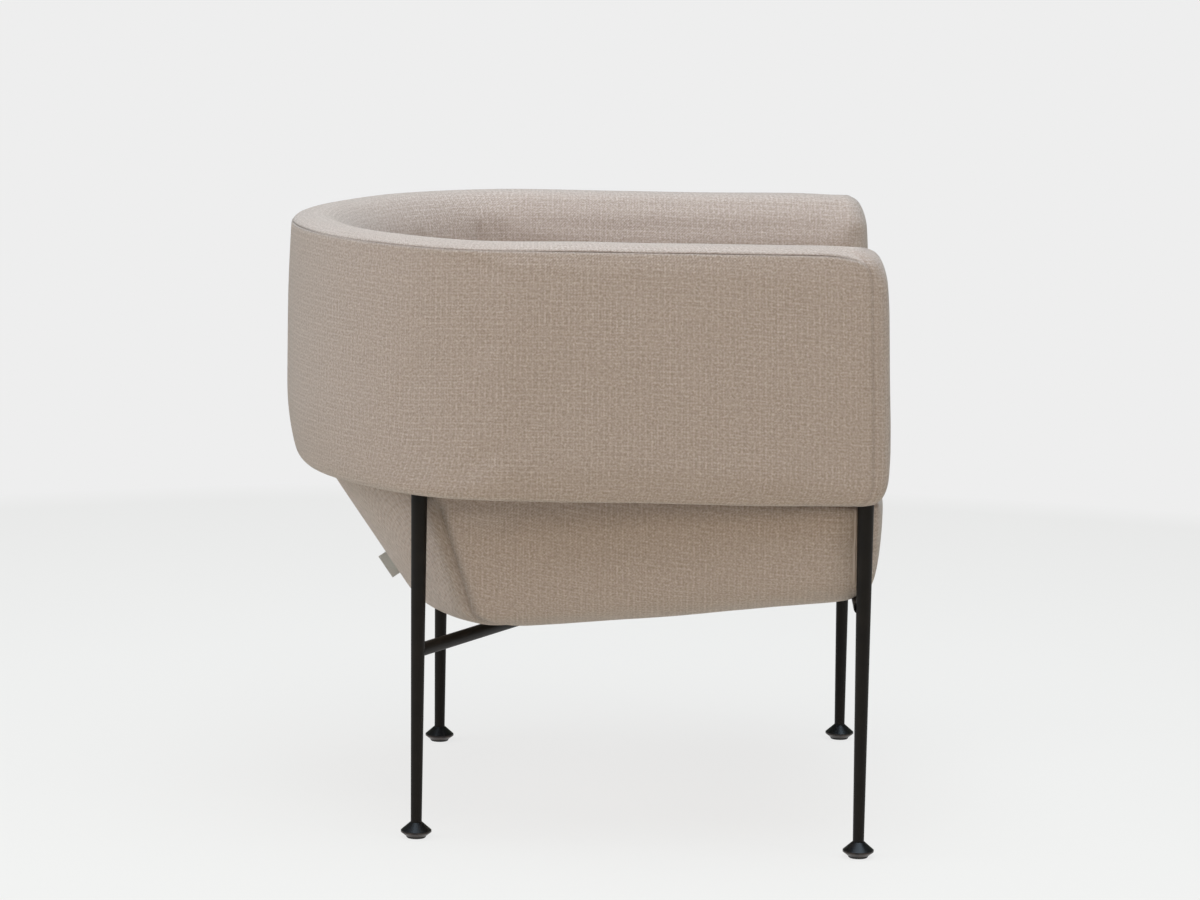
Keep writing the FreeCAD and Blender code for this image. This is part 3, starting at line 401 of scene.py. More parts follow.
def inflate(obj, hold, cap, pressure=4.0):
    # the cover is blown out against its seams, and no point moves further than the cap
    group = obj.vertex_groups.new(name="sewn")
    for v in obj.data.vertices:
        weight = hold(v.co)
        if weight > 0:
            group.add([v.index], min(1.0, weight), "REPLACE")
    start = [v.co.copy() for v in obj.data.vertices]
    cloth = obj.modifiers.new("padding", "CLOTH")
    settings = cloth.settings
    settings.quality = padding["quality"]
    settings.mass = padding["mass"]
    settings.tension_stiffness = settings.compression_stiffness = padding["stretch"]
    settings.shear_stiffness = padding["shear"]
    settings.bending_stiffness = padding["bend"]
    settings.vertex_group_mass = "sewn"
    settings.pin_stiffness = padding["hold"]
    settings.use_pressure = True
    settings.uniform_pressure_force = pressure
    settings.effector_weights.gravity = 0
    cloth.point_cache.frame_start, cloth.point_cache.frame_end = 1, padding["frames"]
    for number in range(1, padding["frames"] + 1):
        bpy.context.scene.frame_set(number)
    shaped = obj.evaluated_get(bpy.context.evaluated_depsgraph_get())
    ends = [v.co.copy() for v in shaped.data.vertices]
    obj.modifiers.remove(cloth)
    bpy.context.scene.frame_set(1)
    most = 0.0
    for v, a, b in zip(obj.data.vertices, start, ends):
        move = b - a
        limit = cap(a)
        if move.length > limit:
            move *= limit / move.length
        most = max(most, move.length)
        v.co = a + move
    obj.data.update()
    print(obj.name, "moved up to", round(most * 1000, 1), "mm")


def nearest(lines):
    # distance to polylines of seam points
    points = []
    for line in lines:
        for a, b in zip(line, line[1:]):
            points += [a.lerp(b, t) for t in (0, 0.25, 0.5, 0.75)]
        points.append(line[-1])
    tree = KDTree(len(points))
    for i, p in enumerate(points):
        tree.insert(p, i)
    tree.balance()
    return tree


def sew(obj, tree, depth, reach, pucker=0.0, pitch=0.014, strength=lambda place: 1.0):
    # pulls the cloth in along the seams, with slight puckers from the stitches
    mesh = obj.data
    normals = [v.normal.copy() for v in mesh.vertices]
    for v, normal in zip(mesh.vertices, normals):
        place, _, away = tree.find(v.co)
        if away < reach:
            t = 1 - away / reach
            ripple = pucker * math.sin(2 * math.pi * (place.x + place.y * 1.3 + place.z) / pitch
                                       + 3 * hashNoise(place, 30))
            pull = depth * t * t * (1.4 - 0.4 * t) + ripple * t * (1 - t) * 4
            v.co -= normal * pull * strength(place)
    mesh.update()


def shadeSeams(obj, tree, reach, strength=lambda place: 1.0):
    # painted shade in the groove of a seam or crease, also standing for a seam's thread, read by the cloth's
    # material as a darkening
    shades = []
    for v in obj.data.vertices:
        place, _, away = tree.find(v.co)
        shades.append(max(0.0, 1 - away / reach) * strength(place))
    layer = obj.data.attributes.new("seamShade", "FLOAT", "POINT")
    layer.data.foreach_set("value", shades)


def soften(obj, size, scale, seed):
    # uneven hand upholstery: slow waves in the padding
    normals = [v.normal.copy() for v in obj.data.vertices]
    for v, normal in zip(obj.data.vertices, normals):
        v.co += normal * size * hashNoise(v.co, scale, seed)
    obj.data.update()


def panels(obj, names, wanted, thickness=0.002):
    # the sewn form is parted into its panels, each a closed skin of cloth
    made = {}
    values = [0] * len(obj.data.polygons)
    obj.data.attributes["panel"].data.foreach_get("value", values)
    for tag, name in wanted.items():
        keep = names.index(tag)
        copy = bpy.data.objects.new(name, obj.data.copy())
        copy.data.name = name
        bpy.context.scene.collection.objects.link(copy)
        pick(copy)
        for polygon in copy.data.polygons:
            polygon.select = values[polygon.index] != keep
        for edge in copy.data.edges:
            edge.select = False
        for vertex in copy.data.vertices:
            vertex.select = False
        bpy.ops.object.mode_set(mode="EDIT")
        bpy.context.tool_settings.mesh_select_mode = (False, False, True)
        bpy.ops.mesh.delete(type="FACE")
        bpy.ops.object.mode_set(mode="OBJECT")
        skin = copy.modifiers.new("cloth", "SOLIDIFY")
        skin.thickness, skin.offset, skin.use_even_offset = thickness, -1, False
        applyAll(copy)
        pick(copy)
        bpy.ops.object.shade_smooth_by_angle(angle=math.radians(55))
        made[tag] = copy
    bpy.data.objects.remove(obj)
    return made


shellMesh, shellNames, shellSeams = buildShell()
shellForm = linked(shellMesh, "shellForm")
seamLines = {name: [shellForm.data.vertices[i].co.copy() for i in line] for name, line in shellSeams.items()}
cleanMesh(shellForm)
seamTree = nearest(seamLines.values())


def seamStrength(place):
    # the seam along the top is drawn tight, the ones behind the arm fronts are only just seen; this scales
    # both the seams' pull and their painted shade
    along = smooth((place.y + shell["halfDepth"] - shell["seamInset"] - 0.008) / 0.03)
    return mix(shell["uprightSeam"], 1.0, along * smooth((place.z - shell["top"] + 0.045) / 0.025))


def shellHold(co):
    # seams, underside and the crest stay in place, so that the top doesn't sink between the walls
    away = seamTree.find(co)[2]
    under = 1.0 if co.z < shell["bottom"] + 0.004 else 0.0
    crest = 0.9 * smooth((co.z - shell["top"] + 0.012) / 0.008)
    return max(under, crest, 1 - away / shell["seamHold"])


inflate(shellForm, shellHold, lambda co: shell["give"])
soften(shellForm, shell["waves"], 9, 2.0)
detail = shellForm.modifiers.new("round", "SUBSURF")
detail.levels = detail.render_levels = 1
applyAll(shellForm)
# painted shade along the shell's seams, darkest along the top seam
shadeSeams(shellForm, seamTree, shell["seamShadeReach"], seamStrength)
sew(shellForm, seamTree, shell["seamPull"], shell["seamReach"], shell["seamPucker"], strength=seamStrength)
shellCovers = panels(shellForm, shellNames, {"outer": "shellOuterCover", "inner": "shellInnerCover"})
print("shell is padded and covered")


# seat: the body below the shell and the cushion between the arms are blended, blown out and sewn
seat = {
    "front": -0.3495, "rake": math.radians(6.9), "baseFront": 0.292, "shoulder": 0.4092,
    "frontHalf": 0.322, "seamHalf": 0.270, "sideCrown": 0.008, "frontCrown": 0.007, "frontDraw": 0.012,
    "seamReach": 0.467, "rearReach": 0.5395, "corner": 0.032, "rollWidth": 0.080, "rollHeight": 0.030,
    "creaseLean": 0.18, "rearSlope": 0.53, "creasePull": 1.1, "rearPull": 1.3, "frontPull": 0.3,
    "crownClear": 0.0792, "rearSnug": 0.0140, "crownRoll": 0.110, "crownRise": 0.0233,
    "crownTilt": math.radians(2.0),
    "bellySeam": 0.012, "voxel": 0.0055, "wallGive": 0.0025, "crownGive": 0.008, "waves": 0.0012,
    "creaseDepth": 0.0056, "creaseWidth": 0.018, "creaseShade": 0.7, "creaseShadeReach": 0.012,
    "creaseEnd": 0.388, "creaseFade": 0.014, "barClear": 0.0088, "legClear": 0.0105,
}


def raked(x, y, level):
    s, c = math.sin(seat["rake"]), math.cos(seat["rake"])
    return (x, seat["front"] + y * c + level * s, seat["baseFront"] - y * s + level * c)


def bodyOutline(pull, level):
    # six arcs round the seat in the belly's own frame
    share = min(1.0, level / (seat["shoulder"] - seat["baseFront"]))
    front = seat["frontPull"] * pull - level * math.tan(seat["rake"]) + seat["frontDraw"] * (1 - share) ** 3
    fh, sh, bend = seat["frontHalf"] - pull, seat["seamHalf"] - pull, seat["corner"]
    seam = seat["seamReach"] + seat["creaseLean"] * level - seat["creasePull"] * pull
    rear = seat["rearReach"] + seat["rearSlope"] * level - seat["rearPull"] * pull
    middle, slant = (front + bend + seam) / 2, bend * (1 - math.sqrt(0.5))
    wide = (fh + sh) / 2 + seat["sideCrown"]
    points = arcPoints((-(fh - bend), front), (0, front - seat["frontCrown"]), (fh - bend, front), 30)[1:]
    points += arcPoints((fh - bend, front), (fh - slant, front + slant), (fh, front + bend), 8)[1:]
    points += arcPoints((fh, front + bend), (wide, middle), (sh, seam), 30)[1:]
    points += arcPoints((sh, seam), (0, rear), (-sh, seam), 44)[1:]
    points += arcPoints((-sh, seam), (-wide, middle), (-fh, front + bend), 30)[1:]
    points += arcPoints((-fh, front + bend), (-fh + slant, front + slant), (-(fh - bend), front), 8)[1:]
    return points


def bodyLoops():
    # belly roll, then walls up to the level of the shell's underside
    loops = []
    for angle in (90, 80, 70, 60, 50, 40, 30, 20, 10, 0):
        phi = math.radians(angle)
        pull = seat["rollWidth"] * (1 - math.cos(phi) ** 0.95)
        level = seat["rollHeight"] * (1 - math.sin(phi) ** 0.95)
        loops.append([raked(x, y, level) for x, y in bodyOutline(pull, level)])
    levels = [seat["rollHeight"] + 0.17 * i / 24 for i in range(25)]
    outlines = [bodyOutline(0.0, level) for level in levels]

    def at(c, level):
        k = min(23, max(0, int((level - levels[0]) / (levels[1] - levels[0]))))
        t = (level - levels[k]) / (levels[k + 1] - levels[k])
        return tuple(mix(a, b, t) for a, b in zip(outlines[k][c], outlines[k + 1][c]))

    tops = []
    for c in range(len(outlines[0])):
        level = 0.12
        for _ in range(8):
            x, y = at(c, level)
            level += (seat["shoulder"] - raked(x, y, level)[2]) / math.cos(seat["rake"]) * 0.9
        tops.append(level)
    for share in (0.15, 0.3, 0.45, 0.6, 0.75, 0.9, 1.0):
        loop = []
        for c, top in enumerate(tops):
            level = mix(seat["rollHeight"], top, share)
            loop.append(raked(*at(c, level), level))
        loops.append(loop)
    return loops


def crownLoops():
    # the cushion follows the inside of the shell, sits 30 mm deep in the body and rolls over at the top,
    # and its edge is let into the shell's padding towards the back, so that no floor shows between them
    loops = []
    shape = [(0.0, -1.2), (0.0, 0.0)] + [
        (1 - math.cos(math.radians(a)) ** 0.91, math.sin(math.radians(a)) ** 0.53)
        for a in (8, 18, 28, 38, 48, 58, 68, 78, 86)]
    for pullShare, share in shape:
        pull = pullShare * seat["crownRoll"]
        clear = seat["crownClear"] + pull
        front, bend, half = seat["front"] + pull, seat["corner"], shell["halfWidth"] - clear
        points = arcPoints((-(half - bend), front), (0, front - seat["frontCrown"]), (half - bend, front), 30)
        for i in range(1, 9):
            angle = math.pi / 2 * i / 8
            points.append((half - bend + bend * math.sin(angle), front + bend - bend * math.cos(angle)))
        loose, snug = (runPoints(clear - tuck, front + bend)[1:] for tuck in (0.0, seat["rearSnug"]))
        for a, b in zip(loose, snug):
            x, y = (mix(p, q, smooth((a[1] + 0.02) / 0.07)) for p, q in zip(a, b))
            points.append((-x, y))
        for i in range(1, 8):
            angle = math.pi / 2 * i / 8
            points.append((-half + bend - bend * math.cos(angle), front + bend - bend * math.sin(angle)))
        z = seat["shoulder"] + share * seat["crownRise"]
        tilt = seat["crownTilt"] * max(0.0, share)
        loops.append([(x, seat["front"] + (y - seat["front"]) * math.cos(tilt),
                       z - (y - seat["front"]) * math.sin(tilt)) for x, y in points])
    return loops


def lidded(name, loops):
    count = len(loops[0])
    faces = [(r * count + c, r * count + (c + 1) % count,
              (r + 1) * count + (c + 1) % count, (r + 1) * count + c)
             for r in range(len(loops) - 1) for c in range(count)]
    faces.append(tuple(reversed(range(count))))
    faces.append(tuple((len(loops) - 1) * count + c for c in range(count)))
    mesh = bpy.data.meshes.new(name)
    mesh.from_pydata([p for loop in loops for p in loop], [], faces)
    obj = linked(mesh, name)
    cleanMesh(obj, 0.00005)
    return obj


def joined(first, second):
    bpy.ops.object.select_all(action="DESELECT")
    second.select_set(True)
    first.select_set(True)
    bpy.context.view_layer.objects.active = first
    bpy.ops.object.join()
    return first


bodyRows = bodyLoops()
seatForm = joined(lidded("seatForm", bodyRows), lidded("cushionForm", crownLoops()))
voxels = seatForm.modifiers.new("blend", "REMESH")
voxels.mode, voxels.voxel_size = "VOXEL", seat["voxel"]
even = seatForm.modifiers.new("even", "SMOOTH")
even.factor, even.iterations = 0.5, 5
applyAll(seatForm)
print("seat has", len(seatForm.data.vertices), "points")

seamIndex = 30 + 8 + 30 - 1
creaseRight = [Vector((-loop[seamIndex][0], *loop[seamIndex][1:])) for loop in bodyRows[3:]]
creaseLeft = [Vector(loop[seamIndex]) for loop in bodyRows[3:]]
creaseTree = nearest([creaseRight, creaseLeft])
bellyUp = Vector((0, math.sin(seat["rake"]), math.cos(seat["rake"])))
bellyBase = Vector((0, seat["front"], seat["baseFront"]))


def seatHold(co):
    # the belly is fixed to its panel, the ledge lies under the shell, and the seams hold
    level = (co - bellyBase).dot(bellyUp)
    underShell = abs(co.z - seat["shoulder"]) < 0.006 and abs(co.x) > 0.262
    ledge = 1.0 if underShell or co.z > 0.4 and co.y > 0.1 else 0.0
    belly = 1.0 if level < 0.004 else 0.0
    return max(ledge, belly, 0.9 * max(0.0, 1 - creaseTree.find(co)[2] / 0.012))


def seatCap(co):
    return seat["wallGive"] if co.z < 0.415 else seat["crownGive"]


inflate(seatForm, seatHold, seatCap, 3.0)
soften(seatForm, seat["waves"], 8, 5.0)
detail = seatForm.modifiers.new("round", "SUBSURF")
detail.levels = detail.render_levels = 1
applyAll(seatForm)


def bisect(obj, point, normal):
    # a clean edge along a seam plane
    pick(obj)
    bpy.ops.object.mode_set(mode="EDIT")
    bpy.ops.mesh.select_all(action="SELECT")
    bpy.ops.mesh.bisect(plane_co=point, plane_no=normal)
    bpy.ops.object.mode_set(mode="OBJECT")


frontSeam = seat["front"] + seat["corner"]
bellyPoint = bellyBase + bellyUp * seat["bellySeam"]
turn = Matrix.Rotation(-seat["rake"], 3, "X")
creaseNormal = turn @ Vector((0, 1, -seat["creaseLean"])).normalized()
creasePoint = Vector(raked(0, seat["seamReach"], 0))
bisect(seatForm, (0, frontSeam, 0), (0, 1, 0))
bisect(seatForm, bellyPoint, bellyUp)
bisect(seatForm, creasePoint, creaseNormal)


def seatPanel(co):
    if (co - bellyPoint).dot(bellyUp) < 0:
        return "belly"
    inShell = co.z > seat["shoulder"] - 0.002 and abs(co.x) < shell["halfWidth"] - shell["wall"]
    if co.y < frontSeam or inShell:
        return "top"
    if (co - creasePoint).dot(creaseNormal) > 0:
        return "rear"
    return "left" if co.x > 0 else "right"


def seatCloth(panel, co):
    # weave runs level and upright on every panel
    if panel in ("top", "belly") and not (panel == "top" and co.y < seat["front"] + 0.012 and co.z < 0.42):
        return co.x, co.y
    if panel == "top":
        return co.x, co.z - 0.75
    if panel == "rear":
        return co.x, co.z - 0.8 * co.y
    return co.y, co.z + abs(co.x)


def tagSeat(obj):
    names = ["top", "belly", "rear", "left", "right"]
    mesh = obj.data
    tags = [seatPanel(polygon.center) for polygon in mesh.polygons]
    attribute = mesh.attributes.new("panel", "INT", "FACE")
    attribute.data.foreach_set("value", [names.index(t) for t in tags])
    layer = mesh.uv_layers.get("clothMap") or mesh.uv_layers.new(name="clothMap")
    for polygon, tag in zip(mesh.polygons, tags):
        for k in polygon.loop_indices:
            layer.data[k].uv = seatCloth(tag, mesh.vertices[mesh.loops[k].vertex_index].co)
    return names


def creaseStrength(place):
    # the crease opens out below the shell
    return 1 - smooth((place.z - seat["creaseEnd"]) / seat["creaseFade"])


seatNames = tagSeat(seatForm)
# painted shade down the seat's crease, which the cloth's material reads as a darkening
shadeSeams(seatForm, creaseTree, seat["creaseShadeReach"], lambda place: seat["creaseShade"])
sew(seatForm, creaseTree, seat["creaseDepth"], seat["creaseWidth"], strength=creaseStrength)


def clearTube(obj, a, b, radius):
    # the cloth gives way round a bar or leg
    axis = b - a
    for v in obj.data.vertices:
        t = (v.co - a).dot(axis) / axis.length_squared
        if 0 <= t <= 1:
            away = v.co - (a + axis * t)
            if away.length < radius:
                v.co += away.normalized() * (radius - away.length)
    obj.data.update()


low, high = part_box("front_crossbar")
bar = (low + high) / 2
clearTube(seatForm, Vector((low.x, bar.y, bar.z)), Vector((high.x, bar.y, bar.z)), seat["barClear"])
for name in ("right_front_leg", "left_front_leg", "right_rear_leg", "left_rear_leg"):
    low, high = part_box(name)
    leg = (low + high) / 2
    clearTube(seatForm, Vector((leg.x, leg.y, low.z)), Vector((leg.x, leg.y, high.z)), seat["legClear"])
seatCovers = panels(seatForm, seatNames, {
    "top": "seatTopCover", "belly": "seatDustCover", "rear": "seatRearCover",
    "left": "seatLeftCover", "right": "seatRightCover"})
print("seat is padded and covered")


# belts: the straps under the seat foam sag a little between the boards
belts = {"sag": 0.003, "halfWidth": 0.26, "middle": -0.09, "halfLength": 0.27}


def nodeCopy(node, name, reach=0.00002):
    copy = bpy.data.objects.new(name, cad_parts[node].data.copy())
    copy.data.name = name
    bpy.context.scene.collection.objects.link(copy)
    cleanMesh(copy, reach)
    return copy


seatBelts = nodeCopy("seat_belts", "seatBelts")
bpy.ops.object.mode_set(mode="EDIT")
bpy.ops.mesh.select_all(action="SELECT")
bpy.ops.mesh.tris_convert_to_quads()
bpy.ops.mesh.subdivide(number_cuts=5)
bpy.ops.object.mode_set(mode="OBJECT")
for v in seatBelts.data.vertices:
    x = min(1.0, abs(v.co.x) / belts["halfWidth"])
    y = min(1.0, abs(v.co.y - belts["middle"]) / belts["halfLength"])
    v.co.z -= belts["sag"] * (1 - x * x) * (1 - y * y)
print("belts are in")


# tag: a folded strip of plain grey tape in the rear seam
tag = {"flat": (0.031, 0.0168), "edge": 0.0004, "curl": 0.0016, "wave": 3.0}


def boxUvs(obj, layerName="clothMap"):
    layer = obj.data.uv_layers.get(layerName) or obj.data.uv_layers.new(name=layerName)
    for polygon in obj.data.polygons:
        n = polygon.normal
        for k in polygon.loop_indices:
            co = obj.data.vertices[obj.data.loops[k].vertex_index].co
            if abs(n.x) >= max(abs(n.y), abs(n.z)):
                layer.data[k].uv = (co.y, co.z)
            elif abs(n.y) >= abs(n.z):
                layer.data[k].uv = (co.x, co.z)
            else:
                layer.data[k].uv = (co.x, co.y)


rearTag = nodeCopy("rear_tag", "rearTag")
bpy.ops.object.mode_set(mode="EDIT")
bpy.ops.mesh.select_all(action="SELECT")
bpy.ops.mesh.tris_convert_to_quads()
bpy.ops.mesh.subdivide(number_cuts=7)
bpy.ops.object.mode_set(mode="OBJECT")
edge = rearTag.modifiers.new("edge", "BEVEL")
edge.width, edge.segments, edge.limit_method = tag["edge"], 2, "ANGLE"
applyAll(rearTag)
low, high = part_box("rear_tag")
for v in rearTag.data.vertices:
    out = (v.co.y - low.y) / (high.y - low.y)
    v.co.x += tag["curl"] * out ** 2 * math.sin(tag["wave"] * (v.co.z - low.z) / (high.z - low.z))
boxUvs(rearTag)
boxUvs(seatBelts)
print("tag is in")


# materials
class Nodes:
    # short hand for a material's node tree
    def __init__(self, name):
        self.material = bpy.data.materials.new(name)
        self.material.use_nodes = True
        self.tree = self.material.node_tree
        self.shader = self.tree.nodes["Principled BSDF"]

    def add(self, kind, **values):
        node = self.tree.nodes.new(kind)
        for key, value in values.items():
            setattr(node, key, value)
        return node

    def link(self, out, into):
        self.tree.links.new(out, into)

    def math(self, operation, a, b=None, clamp=False):
        node = self.add("ShaderNodeMath", operation=operation, use_clamp=clamp)
        for socket, value in zip(node.inputs, (a, b)):
            if value is None:
                continue
            if isinstance(value, (int, float)):
                socket.default_value = value
            else:
                self.link(value, socket)
        return node.outputs[0]

    def vector(self, x, y, z=0.0):
        node = self.add("ShaderNodeCombineXYZ")
        for socket, value in zip(node.inputs, (x, y, z)):
            if isinstance(value, (int, float)):
                socket.default_value = value
            else:
                self.link(value, socket)
        return node.outputs[0]

    def noise(self, vector, scale, detail=2.0, roughness=0.5):
        node = self.add("ShaderNodeTexNoise")
        node.inputs["Scale"].default_value = scale
        node.inputs["Detail"].default_value = detail
        node.inputs["Roughness"].default_value = roughness
        self.link(vector, node.inputs["Vector"])
        return node.outputs["Fac"]

    def ramp(self, factor, stops):
        node = self.add("ShaderNodeValToRGB")
        while len(node.color_ramp.elements) < len(stops):
            node.color_ramp.elements.new(0.5)
        for element, (place, colour) in zip(node.color_ramp.elements, stops):
            element.position, element.color = place, (*colour, 1.0)
        self.link(factor, node.inputs["Fac"])
        return node.outputs["Color"]

    def bump(self, height, distance, strength=1.0):
        node = self.add("ShaderNodeBump")
        node.inputs["Distance"].default_value = distance
        node.inputs["Strength"].default_value = strength
        self.link(height, node.inputs["Height"])
        return node


def linear(r, g, b):
    return tuple(((c / 255 + 0.055) / 1.055) ** 2.4 if c > 10 else c / 3294 for c in (r, g, b))


# seam: how much the painted shade along seams and the crease takes off the cloth's colour
cloth = {
    "pitch": 0.0017, "dark": (150, 130, 118), "middle": (179, 159, 149), "light": (203, 185, 177),
    "roughness": 0.92, "sheen": 0.25, "seam": 0.48, "band": 0.044,
}


def weave(name, look):
    # weave of fine yarn in groups of two and four: level and upright lines that come and go
    n = Nodes(name)
    place = n.add("ShaderNodeUVMap", uv_map="clothMap").outputs["UV"]
    parts = n.add("ShaderNodeSeparateXYZ")
    n.link(place, parts.inputs[0])
    pitch = look["pitch"]

    def product(a, b):
        return n.math("MULTIPLY", a, b)

    sway = product(n.math("SUBTRACT", n.noise(place, 0.06 / pitch, 2), 0.5), 1.6)
    u = n.math("ADD", product(parts.outputs[0], 1 / pitch), sway)
    v = n.math("SUBTRACT", product(parts.outputs[1], 1 / pitch), sway)
    warp = n.math("ABSOLUTE", n.math("SINE", product(u, math.pi)))
    weft = n.math("ABSOLUTE", n.math("SINE", product(v, math.pi)))
    column, row = n.math("FLOOR", u), n.math("FLOOR", v)
    over = n.math("FLOORED_MODULO", n.math("ADD", column, row), 2.0)
    under = n.math("SUBTRACT", 1.0, over)
    crossing = n.add("ShaderNodeTexWhiteNoise", noise_dimensions="3D")
    n.link(n.vector(column, row), crossing.inputs["Vector"])
    fibre = n.noise(place, 0.62 / pitch, 2, 0.55)
    threads = n.math("ADD", product(warp, over), product(weft, under))

    def bands(along, seed):
        # yarns in pairs and fours, clearer in some places than in others
        pairs = n.math("COSINE", product(along, math.pi))
        fours = n.math("COSINE", product(along, math.pi / 2))
        clear = n.noise(n.vector(product(parts.outputs[0], 0.05 / pitch),
                                 product(parts.outputs[1], 0.05 / pitch), seed), 1.0, 1)
        return product(n.math("ADD", pairs, fours), product(clear, look["band"]))

    tone = n.math("ADD", product(fibre, 0.62), product(crossing.outputs["Value"], 0.10))
    tone = n.math("ADD", tone, product(threads, 0.15))
    tone = n.math("ADD", tone, n.math("ADD", bands(u, 3.1), bands(v, 8.4)))
    colour = n.ramp(tone, [(0.28, linear(*look["dark"])), (0.50, linear(*look["middle"])),
                           (0.72, linear(*look["light"]))])
    # painted shade: the seamShade attribute darkens the colour along seams and the seat's crease
    seam = n.add("ShaderNodeAttribute", attribute_name="seamShade")
    dim = n.math("SUBTRACT", 1.0, product(seam.outputs["Fac"], look["seam"]))
    shaded = n.add("ShaderNodeVectorMath", operation="SCALE")
    n.link(colour, shaded.inputs[0])
    n.link(dim, shaded.inputs["Scale"])
    n.link(shaded.outputs[0], n.shader.inputs["Base Color"])
    rough = n.math("ADD", product(fibre, 0.12), look["roughness"] - 0.06, clamp=True)
    n.link(rough, n.shader.inputs["Roughness"])
    n.shader.inputs["Sheen Weight"].default_value = look["sheen"]
    n.shader.inputs["Sheen Roughness"].default_value = 0.55
    n.shader.inputs["Specular IOR Level"].default_value = 0.2
    height = n.math("ADD", threads, product(fibre, 1.2))
    height = n.math("ADD", height, product(crossing.outputs["Value"], 0.5))
    n.link(n.bump(height, 0.0004, 0.8).outputs[0], n.shader.inputs["Normal"])
    return n.material


coverCloth = weave("coverCloth", cloth)
tagCloth = weave("tagTape", {
    "pitch": 0.0006, "dark": (184, 178, 172), "middle": (206, 200, 195), "light": (220, 215, 211),
    "roughness": 0.8, "sheen": 0.1, "seam": 0.0, "band": 0.0})
beltCloth = weave("beltWebbing", {
    "pitch": 0.0016, "dark": (28, 27, 26), "middle": (52, 50, 48), "light": (78, 75, 72),
    "roughness": 0.85, "sheen": 0.1, "seam": 0.0, "band": 0.0})


def painted(name, colour, roughness, grain):
    # powder coat: fine orange peel, slight unevenness in gloss
    n = Nodes(name)
    where = n.add("ShaderNodeTexCoord").outputs["Object"]
    fine, slow = n.noise(where, 1600, 2), n.noise(where, 45, 3)
    dark, light = (tuple(c * k for c in colour) for k in (0.75, 1.3))
    n.link(n.ramp(slow, [(0.3, dark), (0.7, light)]), n.shader.inputs["Base Color"])
    rough = n.math("ADD", n.math("MULTIPLY", slow, 0.12), roughness - 0.06)
    n.link(n.math("ADD", rough, n.math("MULTIPLY", fine, 0.05)), n.shader.inputs["Roughness"])
    n.link(n.bump(fine, grain, 0.5).outputs[0], n.shader.inputs["Normal"])
    n.shader.inputs["Specular IOR Level"].default_value = 0.18
    return n.material


def turnedSteel(name, colour, roughness):
    # blackened steel with faint turning lines round the foot, and a warmer brown tone below the rim
    n = Nodes(name)
    where = n.add("ShaderNodeTexCoord").outputs["Object"]
    parts = n.add("ShaderNodeSeparateXYZ")
    n.link(where, parts.inputs[0])
    lines = n.noise(n.vector(0.0, 0.0, parts.outputs[2]), 2600, 2)
    slow = n.noise(where, 220, 3)
    warm = n.math("LESS_THAN", parts.outputs[2], 0.0085)
    tone = n.math("ADD", n.math("MULTIPLY", slow, 0.6), n.math("MULTIPLY", warm, 0.4))
    n.link(n.ramp(tone, [(0.2, colour), (0.55, tuple(c * 1.5 for c in colour)),
                         (0.85, (0.075, 0.055, 0.045))]), n.shader.inputs["Base Color"])
    n.link(n.math("ADD", n.math("MULTIPLY", slow, 0.14), roughness - 0.05), n.shader.inputs["Roughness"])
    n.shader.inputs["Metallic"].default_value = 0.6
    n.link(n.bump(lines, 0.00006, 0.4).outputs[0], n.shader.inputs["Normal"])
    return n.material


def plain(name, dark, light, scale, roughness, metallic=0.0, depth=0.0001, stretch=(1, 1, 1)):
    # wood, plated steel or moulded plastic, told apart by the run of their grain
    n = Nodes(name)
    where = n.add("ShaderNodeTexCoord").outputs["Object"]
    mapping = n.add("ShaderNodeMapping")
    mapping.inputs["Scale"].default_value = stretch
    n.link(where, mapping.inputs["Vector"])
    grain = n.noise(mapping.outputs[0], scale, 4)
    n.link(n.ramp(grain, [(0.3, dark), (0.7, light)]), n.shader.inputs["Base Color"])
    n.link(n.math("ADD", n.math("MULTIPLY", grain, 0.15), roughness - 0.07), n.shader.inputs["Roughness"])
    n.shader.inputs["Metallic"].default_value = metallic
    n.link(n.bump(grain, depth, 0.5).outputs[0], n.shader.inputs["Normal"])
    return n.material


legPaint = painted("blackLegs", (0.0080, 0.0058, 0.0044), 0.48, 0.00004)
footSteel = turnedSteel("blackFeet", (0.0085, 0.0085, 0.010), 0.34)
glidePlastic = plain("glidePlastic", (0.008, 0.008, 0.008), (0.02, 0.019, 0.018), 900, 0.6)
zinc = plain("zincPlate", (0.42, 0.43, 0.45), (0.62, 0.63, 0.65), 500, 0.35, 1.0, 0.00005, (1, 1, 0.2))
plywood = plain("plywood", (0.40, 0.27, 0.15), (0.62, 0.46, 0.29), 160, 0.65, 0.0, 0.0002, (0.12, 0.12, 4))


def dress(material, *nodes):
    for node in nodes:
        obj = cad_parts[node]
        for slot in obj.material_slots:
            slot.material = material
        if not obj.material_slots:
            obj.data.materials.append(material)


corners = ("right_front", "left_front", "right_rear", "left_rear")
dress(legPaint, *(c + "_leg" for c in corners), "front_crossbar", "right_rear_brace", "left_rear_brace",
      "seat_plate", "brace_hub")
dress(footSteel, *(c + "_foot" for c in corners))
dress(glidePlastic, *(c + "_glide" for c in corners))
dress(zinc, "leg_studs", "leg_inserts", "plate_screws", "crossbar_screws")
dress(plywood, "shell_lower_rail", "shell_upper_rail", "shell_outer_board", "shell_inner_board",
      "shell_uprights", "seat_base_panel", "seat_front_rail", "seat_rear_rail", "seat_left_rail",
      "seat_right_rail")


def clothe(obj, material, nodes):
    obj.data.materials.clear()
    obj.data.materials.append(material)
    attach(obj, "root")
    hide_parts(*nodes)


